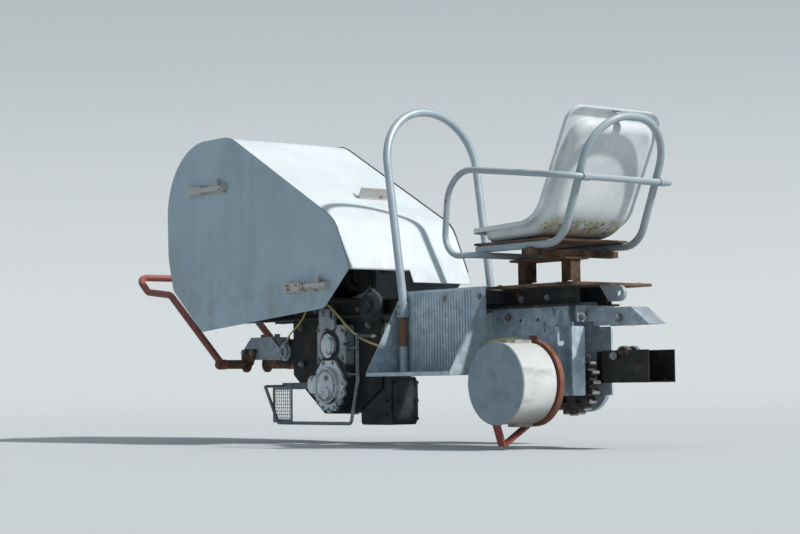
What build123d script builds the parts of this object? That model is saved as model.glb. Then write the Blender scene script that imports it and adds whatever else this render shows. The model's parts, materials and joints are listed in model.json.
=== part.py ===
from build123d import *
import os
from math import atan2, cos, degrees, pi, radians, sin, tan

# Powered unit of a rack monorail, in millimetres.
# The origin is on the axis of the rail, 76 mm behind the footrests' front edge.
# +X points to the rear of the unit, +Z up; the driver faces -X, so -Y is the driver's left.

# Rail that the unit straddles
rail_side = 60.0
rail_gap = 0.3
rail_half = rail_side / 2

# Clearance of what turns in a bore
shaft_clearance = 0.05

# Carriage side plates, one pair at the front and one at the rear
plate_gap = 114.0
plate_thickness = 8.0
plate_inner = plate_gap / 2
plate_outer = plate_inner + plate_thickness

# Main frame of two channels, outside the side plates
beam_front = -1150.0
beam_rear = 660.0
beam_bottom = 97.0
beam_height = 60.0
beam_width = 40.0
beam_wall = 6.0
beam_top = beam_bottom + beam_height
beam_outer = plate_outer + beam_width
cross_tube = 40.0
cross_wall = 3.0

# Rack pinions and their shafts
drive_x = -570.0
brake_x = 558.0
pinion_z = -140.0
pinion_teeth = 20
pinion_root_radius = 86.0
tooth_height = 18.0
pinion_width = 30.0
pinion_shaft_radius = 17.5

# Rollers above and below the rail
roller_half_width = 27.0
roller_axle_radius = 10.0
rack_groove_half = 12.0
upper_radius = 40.0
lower_radius = 30.0
tail_radius = 24.0
front_roller_x = -800.0
middle_roller_x = -400.0
rear_roller_x = 330.0
tail_roller_x = 800.0
front_low_x = -790.0

# Front carriage
front_plate_front = -850.0
front_plate_rear = -330.0
front_plate_bottom = -240.0
ear_x = -895.0
ear_z = -14.0
ear_radius = 46.0

# Rear carriage
rear_plate_front = 250.0
rear_plate_rear = 600.0
rear_plate_bottom = 12.0
rear_plate_lap = 16.0
rear_plate_top = beam_bottom + rear_plate_lap
post_front = 598.0
post_rear = 668.0
post_top = 33.0
post_bottom = -180.0

# Engine
engine_front = -980.0
engine_rear = -500.0
engine_half_width = 160.0
engine_height = 340.0
engine_top = beam_top + engine_height
engine_corner = 20.0

# Hood, whose top and slope keep clear of the engine
hood_headroom = 278.0
hood_top = engine_top + hood_headroom
hood_slope_drop = 348.0
hood_half_width = 265.0
hood_wall = 3.0
hood_rim = 3.0
hood_pin_x = -1328.0
hood_pin_z = 240.0
hood_pin_radius = 8.0
hood_arm_inner = 196.0

# Safety bar
bar_radius = 13.5
bar_half_width = 160.0
bar_pin_x = -1178.0
bar_pin_z = -56.0
bar_pin_radius = 10.0

# Footrests, deck and grab hoop
foot_front = -76.0
foot_rear = 350.0
foot_inner = 178.0
foot_outer = 331.0
foot_bottom = -112.0
foot_top = 168.0
foot_sheet = 3.0
rib_pitch = 14.0
rib_width = 5.0
rib_depth = 2.5
deck_rear = 745.0
deck_thickness = 8.0
deck_top = beam_top + deck_thickness
hoop_radius = 14.0
hoop_half_width = foot_inner + foot_sheet + hoop_radius + 2
hoop_foot_x = -45.0

# Seat
seat_rim_front = (285.0, 350.0)
seat_rim_corner = (600.0, 362.0)
seat_rim_top = (765.0, 700.0)
seat_bend_radius = 110.0
seat_depth = 45.0
seat_wall = 4.0
seat_lip = 14.0
seat_half_width = 200.0
seat_dish_half = 168.0
seat_tube_radius = 12.0
seat_tube_half = 165.0
seat_tube_z = 287.0
seat_board_thickness = 7.0
arm_tube_radius = 10.0
arm_half = 250.0
post_side = 42.0
front_post_x = 350.0
rear_post_x = 553.0

# Brake drum
drum_radius = 127.0
drum_front = -330.0
drum_back = -190.0
drum_flange_back = -160.0


def save(builder, name):
    """Label a finished piece and write its file."""
    builder.part.label = name
    export_step(builder.part, f"parts/{name}.step")


def side_plane(y):
    """Plane at this Y with X to the right and Z up; its normal is -Y."""
    return Plane.XZ.offset(-y)


def roll_plane(x, z):
    """Half plane through a transverse axis: first coordinate along Y, second the radius."""
    return Plane(origin=(x, 0, z), x_dir=(0, 1, 0), z_dir=(1, 0, 0))


def roll_axis(x, z):
    return Axis((x, 0, z), (0, 1, 0))


def block(x_span, y_span, z_span, mode=Mode.ADD):
    """Box given by its span along X, Y and Z."""
    spans = (x_span, y_span, z_span)
    with Locations(tuple((low + high) / 2 for low, high in spans)):
        Box(*(abs(high - low) for low, high in spans), mode=mode)


def cross_pin(x, y_span, z, radius, mode=Mode.ADD):
    """Round pin or hole along Y."""
    with Locations((x, (y_span[0] + y_span[1]) / 2, z)):
        Cylinder(radius, abs(y_span[1] - y_span[0]), rotation=(90, 0, 0), mode=mode)


def bolt_head(x, side, face, z, radius, height):
    """Hexagonal head that stands on a side plate's outer face."""
    with BuildSketch(side_plane(side * face)) as hexagon:
        with Locations((x, z)):
            RegularPolygon(radius, 6)
    extrude(hexagon.sketch, amount=-side * height)


def tube_along(path, start, direction, radius):
    """Round bar swept along a path of straight runs and tangent arcs."""
    with BuildSketch(Plane(origin=start, z_dir=direction)) as section:
        Circle(radius)
    sweep(sections=section.sketch, path=path)


os.makedirs("parts", exist_ok=True)

# Main frame: two channels that open outwards, joined by square cross tubes
cross_inset = cross_tube / 2
cross_places = (beam_front + cross_inset, -300.0, -50.0, 150.0, rear_roller_x - 10)
with BuildPart() as main_frame:
    for side in (-1, 1):
        block((beam_front, beam_rear), (side * plate_outer, side * beam_outer), (beam_bottom, beam_top))
        block(
            (beam_front, beam_rear),
            (side * (plate_outer + beam_wall), side * (beam_outer + beam_wall)),
            (beam_bottom + beam_wall, beam_top - beam_wall),
            mode=Mode.SUBTRACT,
        )
    for x in cross_places:
        reach = foot_inner if x + cross_inset > foot_front else plate_outer
        with Locations((x, 0, beam_top - cross_tube / 2)):
            Box(cross_tube, 2 * reach, cross_tube)
            Box(cross_tube - 2 * cross_wall, 2 * reach, cross_tube - 2 * cross_wall, mode=Mode.SUBTRACT)
save(main_frame, "main_frame")

# Front carriage side plates
upper_z = rail_half + rail_gap + upper_radius
lower_z = -rail_half - rail_gap - lower_radius
tail_z = rail_half + rail_gap + tail_radius
front_axles = ((front_roller_x, upper_z), (middle_roller_x, upper_z), (front_low_x, lower_z))
ear_pin_radius = 14.0
plate_corner = 18.0
drive_chin_half = 90.0
for name, side in (("front_plate_near", -1), ("front_plate_far", 1)):
    with BuildPart() as plate:
        with BuildSketch(side_plane(side * plate_inner)):
            with BuildLine():
                FilletPolyline(
                    (front_plate_front, pinion_z + 40),
                    (front_plate_front, beam_top - 10),
                    (front_plate_rear, beam_top - 10),
                    (front_plate_rear, pinion_z - 10),
                    (drive_x + drive_chin_half, front_plate_bottom),
                    (drive_x - drive_chin_half, front_plate_bottom),
                    radius=plate_corner,
                    close=True,
                )
            make_face()
            with Locations((ear_x, ear_z)):
                Circle(ear_radius)
            with Locations(((ear_x + front_plate_front) / 2 + plate_corner / 2, ear_z)):
                Rectangle(front_plate_front - ear_x + plate_corner, 2 * ear_radius)
            with Locations((ear_x, ear_z)):
                Circle(ear_pin_radius, mode=Mode.SUBTRACT)
            with Locations((drive_x, pinion_z)):
                Circle(pinion_shaft_radius + shaft_clearance, mode=Mode.SUBTRACT)
            with Locations(*front_axles):
                Circle(roller_axle_radius + shaft_clearance, mode=Mode.SUBTRACT)
        extrude(amount=-side * plate_thickness)
    save(plate, name)

# Gear case on the near side, with its round and oval covers and the tab that bolts it to the beam
case_half = 83.0
case_depth = beam_outer - plate_outer
case_top = 75.0
case_face = plate_outer + case_depth
tab_half = 44.0
tab_thickness = 12.0
tab_top = 130.0
tab_lap = 20.0
tab_corner = 8.0
tab_x = drive_x - 8
case_corner = 10.0
case_edge = 6.0
case_bore_radius = pinion_shaft_radius + 3
head_radius = 11.0
head_height = 8.0
with BuildPart() as gear_case:
    with BuildSketch(side_plane(-plate_outer)) as case_outline:
        with Locations((drive_x, (pinion_z + case_top) / 2)):
            Rectangle(2 * case_half, case_top - pinion_z)
        fillet(case_outline.vertices().group_by(Axis.Y)[-1], case_corner)
        with Locations((drive_x, pinion_z)):
            Circle(case_half)
    extrude(amount=case_depth)
    fillet(gear_case.faces().sort_by(Axis.Y)[0].edges(), case_edge)
    cross_pin(drive_x, (-case_face, -plate_outer), pinion_z, case_bore_radius, mode=Mode.SUBTRACT)
    with BuildSketch(side_plane(-case_face)):
        with Locations((tab_x, (case_top - tab_lap + tab_top) / 2)):
            RectangleRounded(2 * tab_half, tab_top - case_top + tab_lap, tab_corner)
    extrude(amount=tab_thickness)
    for x in (tab_x - tab_half / 2, tab_x + tab_half / 2):
        bolt_head(x, -1, case_face + tab_thickness, (beam_bottom + tab_top) / 2, head_radius, head_height)
save(gear_case, "gear_case")

cover_radius = 86.0
cover_flange = 12.0
cover_dome = 14.0
cover_neck_half = 38.0
cover_neck_top = 88.0
cover_shoulder = 34.0
cover_shoulder_half = cover_radius - 7
dome_inset = 20.0
lobe_radius = 12.0
lobe_count = 9
lobe_start = 175.0
lobe_range = 190.0
hub_radius = 26.0
hub_place = (drive_x + 8, pinion_z - 26)
hub_inset = 6.0
hub_cap = 8.0
boss_radius = 33.0
boss_place = (drive_x - cover_radius + 13, pinion_z + 4)
with BuildPart() as gear_cover:
    with BuildSketch(side_plane(-case_face)):
        with Locations((drive_x, pinion_z)):
            Circle(cover_radius)
            with PolarLocations(cover_radius - 2, lobe_count, lobe_start, lobe_range, endpoint=True):
                Circle(lobe_radius)
        with BuildLine():
            Polyline(
                (drive_x - cover_neck_half, pinion_z + cover_neck_top),
                (drive_x + cover_neck_half, pinion_z + cover_neck_top),
                (drive_x + cover_shoulder_half, pinion_z + cover_shoulder),
                (drive_x - cover_shoulder_half, pinion_z + cover_shoulder),
                close=True,
            )
        make_face()
    extrude(amount=cover_flange)
    with BuildSketch(side_plane(-case_face - cover_flange)):
        with Locations((drive_x, pinion_z)):
            Circle(cover_radius - dome_inset)
    extrude(amount=cover_dome, taper=12)
    with BuildSketch(side_plane(-case_face)):
        with Locations(boss_place):
            Circle(boss_radius)
        with Locations(hub_place):
            Circle(hub_radius)
    extrude(amount=cover_flange + cover_dome)
    with BuildSketch(side_plane(-case_face - cover_flange - cover_dome)):
        with Locations(hub_place):
            Circle(hub_radius - hub_inset)
    extrude(amount=hub_cap)
save(gear_cover, "gear_cover")

oval_height = 85.0
oval_width = 76.0
oval_inset = 10.0
oval_rise = 5.0
oval_place = (drive_x - 4, 0)
with BuildPart() as oval_cover:
    with BuildSketch(side_plane(-case_face)):
        with Locations(oval_place):
            Ellipse(oval_width / 2, oval_height / 2)
    extrude(amount=cover_flange)
    with BuildSketch(side_plane(-case_face - cover_flange)):
        with Locations(oval_place):
            Ellipse(oval_width / 2 - oval_inset, oval_height / 2 - oval_inset)
    extrude(amount=oval_rise)
save(oval_cover, "oval_cover")

# Transmission case behind the drive pinion, under the rail, with a ribbed end cover
trans_front = -458.0
trans_rear = -290.0
trans_top = -112.0
trans_bottom = -278.0
trans_middle = (trans_top + trans_bottom) / 2
trans_corner = 14.0
trans_cover = 18.0
trans_cover_corner = 20.0
trans_rib = 6.0
trans_rib_half = 4.0
trans_bolt_pitch = (78.0, 62.0)
trans_bolt_radius = 8.0
with BuildPart() as transmission_case:
    block((trans_front, trans_rear), (-plate_inner, plate_inner), (trans_bottom, trans_top))
    fillet(transmission_case.edges().filter_by(Axis.Y), trans_corner)
    for x, z in ((trans_front + 20, trans_middle - 45), (trans_front + 66, trans_middle)):
        block(
            (x, trans_rear - trans_cover_corner),
            (-plate_inner - trans_rib, plate_inner + trans_rib),
            (z - trans_rib_half, z + trans_rib_half),
        )
    with BuildSketch(Plane.YZ.offset(trans_rear)):
        with Locations((0, trans_middle)):
            RectangleRounded(plate_gap - 14, trans_top - trans_bottom - 24, trans_cover_corner)
    extrude(amount=trans_cover, taper=8)
    with BuildSketch(Plane.YZ.offset(trans_rear)):
        with Locations((0, trans_middle)):
            with GridLocations(trans_bolt_pitch[0], trans_bolt_pitch[1], 2, 3):
                RegularPolygon(trans_bolt_radius, 6)
    extrude(amount=trans_cover + trans_rib)
save(transmission_case, "transmission_case")

# Front guide: hexagonal cheeks on both sides of the rail and a saddle over it
guide_gap = 3.0
guide_inner = rail_half + guide_gap
guide_thickness = 10.0
guide_outer = guide_inner + guide_thickness
guide_front = -1205.0
guide_rear = -973.0
guide_top = 36.0
guide_bottom = -40.0
guide_nose = 40.0
guide_arm_top = ear_z + 18
guide_arm_bottom = ear_z - 20
guide_eye_radius = ear_radius - 12
saddle_half = 70.0
saddle_thickness = 8.0
saddle_bolt_pitch = 90.0
saddle_bolt_height = 12.0
guide_middle = (guide_front + guide_rear) / 2
with BuildPart() as front_guide:
    for side in (-1, 1):
        with BuildSketch(side_plane(side * guide_inner)):
            with BuildLine():
                Polyline(
                    (guide_front, 0),
                    (guide_front + guide_nose, guide_top),
                    (guide_rear - guide_nose, guide_top),
                    (guide_rear, guide_arm_top),
                    (ear_x, guide_arm_top),
                    (ear_x, guide_arm_bottom),
                    (guide_rear, guide_arm_bottom),
                    (guide_rear - guide_nose, guide_bottom),
                    (guide_front + guide_nose, guide_bottom),
                    close=True,
                )
            make_face()
            with Locations((ear_x, ear_z)):
                Circle(guide_eye_radius)
                Circle(ear_pin_radius, mode=Mode.SUBTRACT)
        extrude(amount=-side * guide_thickness)
    saddle_top = guide_top + saddle_thickness
    saddle = (guide_middle - saddle_half, guide_middle + saddle_half)
    block(saddle, (-guide_outer, guide_outer), (guide_top, saddle_top))
    with BuildSketch(Plane.XY.offset(saddle_top)):
        with Locations((guide_middle, 0)):
            with GridLocations(saddle_bolt_pitch, 0, 2, 1):
                RegularPolygon(head_radius, 6)
    extrude(amount=saddle_bolt_height)
save(front_guide, "front_guide")

# Pins that hold the guide's rear eyes in the ears of the side plates
pin_washer = 8.0
pin_cap_radius = 24.0
with BuildPart() as guide_pins:
    for side in (-1, 1):
        washer_face = side * (plate_outer + pin_washer)
        cap_face = side * (plate_outer + 2 * pin_washer)
        cross_pin(ear_x, (side * guide_inner, side * plate_outer), ear_z, ear_pin_radius)
        cross_pin(ear_x, (side * plate_outer, washer_face), ear_z, guide_eye_radius)
        cross_pin(ear_x, (washer_face, cap_face), ear_z, pin_cap_radius)
        cross_pin(ear_x, (washer_face, cap_face), ear_z, ear_pin_radius, mode=Mode.SUBTRACT)
save(guide_pins, "guide_pins")

# Guard of round rod in front of the drive, stayed from the side plate and the gear case
guard_y = -150.0
guard_rod = 6.0
guard_bottom = -272.0
guard_top = 40.0
guard_post_x = -357.0
guard_front_x = -911.0
guard_bend = 16.0
guard_points = (
    (guard_front_x, guard_y, pinion_z),
    (-830, guard_y, guard_bottom),
    (-396, guard_y, guard_bottom),
    (guard_post_x, guard_y, pinion_z + 13),
    (guard_post_x, guard_y, guard_top),
)
stay_half = 5.0
foot_strip_half = 12.0
foot_strip_thickness = 8.0
rung_levels = (-9.0, -102.0)
rung_radius = 3.5
rung_pad_half = 9.0
rung_pad_thickness = 4.0
rung_pad_y = -plate_outer - 25
with BuildPart() as drive_guard:
    with BuildLine() as guard_path:
        FilletPolyline(*guard_points, radius=guard_bend)
    tube_along(guard_path.line, guard_path.line @ 0, guard_path.line % 0, guard_rod)
    for x, z in ((guard_front_x + guard_rod, pinion_z), (guard_post_x, guard_top - 10)):
        block((x - stay_half, x + stay_half), (guard_y, -plate_outer), (z - stay_half, z + stay_half))
    block(
        (guard_front_x + 1, front_plate_front + 90),
        (-plate_outer - foot_strip_thickness, -plate_outer),
        (pinion_z - foot_strip_half, pinion_z + foot_strip_half),
    )
    for z in rung_levels:
        pad_face = drive_x + case_half
        block(
            (pad_face, pad_face + rung_pad_thickness),
            (rung_pad_y - rung_pad_half, rung_pad_y + rung_pad_half),
            (z - rung_pad_half, z + rung_pad_half),
        )
        with BuildLine() as rung_path:
            Line((pad_face + rung_pad_thickness / 2, rung_pad_y, z), (guard_post_x, guard_y, z))
        tube_along(rung_path.line, rung_path.line @ 0, rung_path.line % 0, rung_radius)
save(drive_guard, "drive_guard")

mesh_x = -812.0
mesh_z = (pinion_z + guard_bottom) / 2
mesh_length = 120.0
mesh_height = 130.0
mesh_thickness = 3.0
mesh_pitch = 20.0
mesh_opening = 12.0
mesh_count = 5
with BuildPart() as guard_mesh:
    with Locations((mesh_x, guard_y + guard_rod + mesh_thickness / 2, mesh_z)):
        Box(mesh_length, mesh_thickness, mesh_height)
    with BuildSketch(side_plane(guard_y + guard_rod)):
        with Locations((mesh_x, mesh_z)):
            with GridLocations(mesh_pitch, mesh_pitch, mesh_count, mesh_count):
                Rectangle(mesh_opening, mesh_opening)
    extrude(amount=-mesh_thickness, mode=Mode.SUBTRACT)
save(guard_mesh, "guard_mesh")

# Engine, closed in by the hood, with the block that the cable comes out of
cable_exit_x = -592.0
cable_exit_y = -123.0
cable_exit_side = 20.0
cable_exit_half = cable_exit_side / 2
cable_exit_drop = 17.0
with BuildPart() as engine_block:
    block((engine_front, engine_rear), (-engine_half_width, engine_half_width), (beam_top, engine_top))
    fillet(engine_block.edges().filter_by(Axis.Z), engine_corner)
    block(
        (cable_exit_x - cable_exit_side, cable_exit_x),
        (cable_exit_y - cable_exit_half, cable_exit_y + cable_exit_half),
        (beam_top - cable_exit_drop, beam_top),
    )
save(engine_block, "engine_block")

# Clutch housing on the near beam, behind the engine
clutch_x = -318.0
clutch_z = 128.0
clutch_radius = 55.0
clutch_depth = 30.0
clutch_edge = 14.0
clutch_hub_radius = 22.0
clutch_hub_height = 9.0
clutch_lug_radius = 11.0
clutch_face = -beam_outer - clutch_depth
with BuildPart() as clutch_housing:
    with BuildSketch(roll_plane(clutch_x, clutch_z)):
        with BuildLine():
            Polyline(
                (-beam_outer, 0),
                (-beam_outer, clutch_radius),
                (clutch_face + clutch_edge, clutch_radius),
                (clutch_face, clutch_radius - clutch_edge),
                (clutch_face, clutch_hub_radius),
                (clutch_face - clutch_hub_height, clutch_hub_radius - 4),
                (clutch_face - clutch_hub_height, 0),
                close=True,
            )
        make_face()
    revolve(axis=roll_axis(clutch_x, clutch_z))
    with BuildSketch(side_plane(-beam_outer)):
        with Locations((clutch_x, clutch_z)):
            with PolarLocations(clutch_radius - 2, 3, start_angle=90):
                Circle(clutch_lug_radius)
    extrude(amount=clutch_depth - clutch_edge)
save(clutch_housing, "clutch_housing")

# Hood: bent sheet with side panels that stand a rim proud of it, open below.
# Outline of a side panel: x, z and corner radius.
hood_outline = (
    (-1153, 65, 8),
    (-1348, 226, 60),
    (-1382, 350, 250),
    (-1393, hood_top, 265),
    (-963, hood_top, 160),
    (-328, hood_top - hood_slope_drop, 130),
    (-246, 255, 10),
    (-390, 125, 40),
)
hood_points = [(x, z) for x, z, radius in hood_outline]
hood_radii = [radius for x, z, radius in hood_outline]
slope_foot = Vector(*hood_points[5], 0)
rear_foot = Vector(*hood_points[6], 0)
rear_down = (rear_foot - slope_foot).normalized()
rear_in = Vector(rear_down.Y, -rear_down.X, 0)
open_front = hood_points[3][0] - 7
open_low = hood_points[0][1] - 45
open_chin = hood_pin_z - 8
open_rear = (hood_points[7][0] + 10, rear_foot.X - 6)
flap_reach = 46.0
flap_lap = 30.0
flap_start = rear_foot - rear_down * flap_lap + rear_in * hood_rim
flap_end = rear_foot + rear_down * flap_reach + rear_in * hood_rim
hinge_tab_inner = hood_arm_inner + 12
hinge_tab = 6.0
hinge_tab_outline = ((-20, -8), (16, -15), (16, 18), (-34, 18))
with BuildSketch(side_plane(0)) as panel_face:
    with BuildLine():
        FilletPolyline(*hood_points, radius=hood_radii, close=True)
    make_face()
with BuildSketch(side_plane(0)) as sheet_face:
    add(panel_face.sketch)
    offset(amount=-hood_rim, mode=Mode.REPLACE)
with BuildPart() as hood_shell:
    extrude(panel_face.sketch, amount=hood_half_width, both=True)
    extrude(panel_face.sketch, amount=hood_half_width - hood_wall, both=True, mode=Mode.SUBTRACT)
    extrude(sheet_face.sketch, amount=hood_half_width - hood_wall, both=True)
    with BuildSketch(side_plane(0)):
        add(sheet_face.sketch)
        offset(amount=-hood_wall, mode=Mode.REPLACE)
        with BuildLine():
            Polyline(
                (open_front, open_chin),
                (open_front, open_low),
                (open_rear[0], open_low),
                (open_rear[1], rear_foot.Y - hood_wall),
                close=True,
            )
        make_face()
    extrude(amount=hood_half_width - hood_wall, both=True, mode=Mode.SUBTRACT)
    with BuildSketch(side_plane(0)):
        with BuildLine():
            Polyline(
                (flap_start.X, flap_start.Y),
                (flap_end.X, flap_end.Y),
                ((flap_end + rear_in * hood_wall).X, (flap_end + rear_in * hood_wall).Y),
                ((flap_start + rear_in * hood_wall).X, (flap_start + rear_in * hood_wall).Y),
                close=True,
            )
        make_face()
    extrude(amount=-(hood_half_width - hood_wall))
    for side in (-1, 1):
        with BuildSketch(side_plane(side * hinge_tab_inner)):
            with BuildLine():
                Polyline(*[(hood_pin_x + x, hood_pin_z + z) for x, z in hinge_tab_outline], close=True)
            make_face()
            with Locations((hood_pin_x, hood_pin_z)):
                Circle(hood_pin_radius + shaft_clearance, mode=Mode.SUBTRACT)
        extrude(amount=-side * hinge_tab)
save(hood_shell, "hood_shell")

# Latches on the side panels: a strip with a cast keeper and a round bolt; lifting handle on the slope
strip_length = 250.0
strip_height = 40.0
strip_thickness = 4.0
keeper_depth = 20.0
keeper_half = 15.0
bolt_radius = 10.0
bolt_length = 150.0
bolt_shift = 50.0
lever_front = 72.0
lever_width = 12.0
lever_half = 5.0
lever_height = 34.0
slope_top = Vector(*hood_points[4], 0)
latch_places = ((slope_top.X - 141, hood_top - 185), (rear_foot.X - 239, rear_foot.Y - 52))
slope_down = (slope_foot - slope_top).normalized()
slope_out = Vector(-slope_down.Y, slope_down.X, 0)
handle_reach = 500.0
handle_place = slope_top + slope_down * handle_reach - slope_out * hood_rim
handle_y = 45.0
handle_length = 126.0
handle_width = 44.0
handle_sheet = 4.0
handle_lip = 6.0
handle_height = 38.0
with BuildPart() as hood_lugs:
    for x, z in latch_places:
        for side in (-1, 1):
            face = side * hood_half_width
            block(
                (x - strip_length / 2, x + strip_length / 2),
                (face, face + side * strip_thickness),
                (z - strip_height / 2, z + strip_height / 2),
            )
            block(
                (x - strip_length / 2 + 8, x - bolt_shift / 2),
                (face, face + side * keeper_depth),
                (z - keeper_half, z + keeper_half),
            )
            rod_y = face + side * (strip_thickness + bolt_radius - 1)
            with Locations((x + bolt_shift, rod_y, z)):
                Cylinder(bolt_radius, bolt_length, rotation=(0, 90, 0))
            block(
                (x + lever_front, x + lever_front + lever_width),
                (rod_y - lever_half, rod_y + lever_half),
                (z, z + lever_height),
            )
    handle_plane = Plane(
        origin=(handle_place.X, handle_y, handle_place.Y),
        x_dir=(0, 1, 0),
        z_dir=(slope_out.X, 0, slope_out.Y),
    )
    with BuildSketch(handle_plane):
        Rectangle(handle_length, handle_width)
    extrude(amount=handle_sheet)
    with BuildSketch(handle_plane.offset(handle_sheet)):
        with Locations((0, handle_lip - handle_width / 2)):
            Rectangle(handle_length, handle_lip)
    extrude(amount=handle_height)
save(hood_lugs, "hood_lugs")

# Arms and pins that carry the hood's hinge
arm_thickness = 8.0
arm_foot_x = beam_front + cross_tube
with BuildPart() as hood_arms:
    for side in (-1, 1):
        with BuildSketch(side_plane(side * hood_arm_inner)):
            with BuildLine():
                Polyline(
                    (hood_pin_x - 8, hood_pin_z - 9),
                    (hood_pin_x + 8, hood_pin_z + 9),
                    (arm_foot_x, beam_top),
                    (arm_foot_x, beam_top - cross_tube),
                    (beam_front, beam_top - cross_tube),
                    close=True,
                )
            make_face()
            with Locations((hood_pin_x, hood_pin_z)):
                Circle(hood_pin_radius + 4)
        extrude(amount=-side * arm_thickness)
        arm_outside = side * (hood_arm_inner + arm_thickness)
        pin_end = side * (hinge_tab_inner + hinge_tab)
        cross_pin(hood_pin_x, (arm_outside, pin_end), hood_pin_z, hood_pin_radius)
        block((beam_front, arm_foot_x), (side * beam_outer, arm_outside), (beam_top - cross_tube, beam_top))
save(hood_arms, "hood_arms")

# Safety bar: bent tube in front of the hood with an eye at each lower end
bar_knee = (-1535.0, 220.0)
bar_bend = (-1700.0, 238.0)
bar_tip = (-1775.0, 300.0)
bar_side = ((bar_pin_x, bar_pin_z), bar_knee, bar_bend, bar_tip)
bar_bends = [60, 40, 45]
bar_eye_radius = 19.0
bar_eye_half = 15.0


def loop_points(side_view, half):
    """Corners of a tube that runs along one side and comes back along the other."""
    return [(x, -half, z) for x, z in side_view] + [(x, half, z) for x, z in side_view[::-1]]


with BuildPart() as safety_bar:
    with BuildLine() as bar_path:
        FilletPolyline(*loop_points(bar_side, bar_half_width), radius=bar_bends + bar_bends[::-1])
    tube_along(bar_path.line, bar_path.line @ 0, bar_path.line % 0, bar_radius)
    for side in (-1, 1):
        eye = (side * (bar_half_width - bar_eye_half), side * (bar_half_width + bar_eye_half))
        cross_pin(bar_pin_x, eye, bar_pin_z, bar_eye_radius)
        cross_pin(bar_pin_x, eye, bar_pin_z, bar_pin_radius + shaft_clearance, mode=Mode.SUBTRACT)
save(safety_bar, "safety_bar")

bracket_thickness = 10.0
bracket_boss_radius = 30.0
bracket_corner = 8.0
bracket_outline = ((-28, -14), (-28, 56), (68, 56), (38, -4))
with BuildPart() as bar_brackets:
    for side in (-1, 1):
        with BuildSketch(side_plane(side * guide_outer)):
            with BuildLine():
                corners = [(bar_pin_x + x, bar_pin_z + z) for x, z in bracket_outline]
                FilletPolyline(*corners, radius=bracket_corner, close=True)
            make_face()
            with Locations((bar_pin_x, bar_pin_z)):
                Circle(bracket_boss_radius)
        extrude(amount=-side * bracket_thickness)
        root = side * (guide_outer + bracket_thickness)
        collar = side * (bar_half_width - bar_eye_half - 1)
        tip = side * (bar_half_width + bar_eye_half + 1)
        cross_pin(bar_pin_x, (root, tip), bar_pin_z, bar_pin_radius)
        cross_pin(bar_pin_x, (root, collar), bar_pin_z, bar_pin_radius + 7)
        cross_pin(bar_pin_x, (tip, tip + side * 6), bar_pin_z, bar_pin_radius + 5)
save(bar_brackets, "bar_brackets")

# Control cable's clearance to what carries it, and its radius
cable_radius = 4.0
cable_seat = 0.3
cable_side = -(foot_inner - cable_radius - cable_seat)

# Footrests: ribbed inner wall, pan with a turned-up edge and two three-cornered end walls
rib_margin = 70.0
rib_count = int((foot_rear - foot_front - 2 * rib_margin) / rib_pitch) + 1
wall_top = foot_top - 30
wall_shoulder = 14.0
pan_edge = 12.0
rib_inset = 20.0
clip_places = (60.0, 250.0)
clip_half = 6.0
clip_bottom = -44.0
clip_top = -30.5
for name, side in (("footrest_near", -1), ("footrest_far", 1)):
    inside = side * foot_inner
    outside = side * foot_outer
    edge = (outside - side * foot_sheet, outside)
    with BuildPart() as footrest:
        block((foot_front, foot_rear), (inside, inside + side * foot_sheet), (foot_bottom, foot_top))
        block((foot_front, foot_rear), (inside, outside), (foot_bottom, foot_bottom + foot_sheet))
        block((foot_front, foot_rear), edge, (foot_bottom, foot_bottom + pan_edge))
        for x in (foot_front, foot_rear - foot_sheet):
            with BuildSketch(Plane.YZ.offset(x)):
                with BuildLine():
                    Polyline(
                        (inside, foot_bottom),
                        (outside, foot_bottom),
                        (outside, foot_bottom + pan_edge),
                        (inside + side * wall_shoulder, wall_top),
                        (inside, wall_top),
                        close=True,
                    )
                make_face()
            extrude(amount=foot_sheet)
        with BuildSketch(side_plane(inside + side * foot_sheet)):
            with Locations(((foot_front + foot_rear) / 2, (foot_bottom + foot_top) / 2)):
                with GridLocations(rib_pitch, 0, rib_count, 1):
                    Rectangle(rib_width, foot_top - foot_bottom - rib_inset)
        extrude(amount=-side * rib_depth)
        if side < 0:
            for x in clip_places:
                clip = (x - clip_half, x + clip_half)
                block(clip, (inside, inside + 2 * cable_radius), (clip_bottom, clip_top))
    save(footrest, name)

# Grab hoop: two legs and a half-round top that leans forward
hoop_lean = 0.162
hoop_bend_z = 147.0
hoop_top_z = 790.0
hoop_top_x = hoop_foot_x - hoop_lean * (hoop_top_z - hoop_bend_z)
hoop_foot_z = foot_bottom + foot_sheet
hoop_side = ((hoop_foot_x, hoop_foot_z), (hoop_foot_x, hoop_bend_z), (hoop_top_x, hoop_top_z))
hoop_bends = [60, hoop_half_width - 4]
with BuildPart() as grab_hoop:
    with BuildLine() as hoop_path:
        FilletPolyline(*loop_points(hoop_side, hoop_half_width), radius=hoop_bends + hoop_bends[::-1])
    tube_along(hoop_path.line, hoop_path.line @ 0, hoop_path.line % 0, hoop_radius)
save(grab_hoop, "grab_hoop")

sleeve_bottom = 82.0
sleeve_top = 134.0
sleeve_wall = 6.0
sleeve_reach = 2 * (hoop_radius + sleeve_wall)
with BuildPart() as hoop_sleeves:
    for side in (-1, 1):
        with BuildSketch(Plane.XY.offset(sleeve_bottom)):
            with Locations((hoop_foot_x, side * hoop_half_width)):
                Circle(hoop_radius + sleeve_wall)
                Circle(hoop_radius, mode=Mode.SUBTRACT)
        extrude(amount=sleeve_top - sleeve_bottom)
    block(
        (hoop_foot_x - sleeve_reach, hoop_foot_x + sleeve_reach),
        (-foot_inner - foot_sheet, foot_inner + foot_sheet),
        (sleeve_bottom, sleeve_top),
        mode=Mode.SUBTRACT,
    )
save(hoop_sleeves, "hoop_sleeves")

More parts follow.
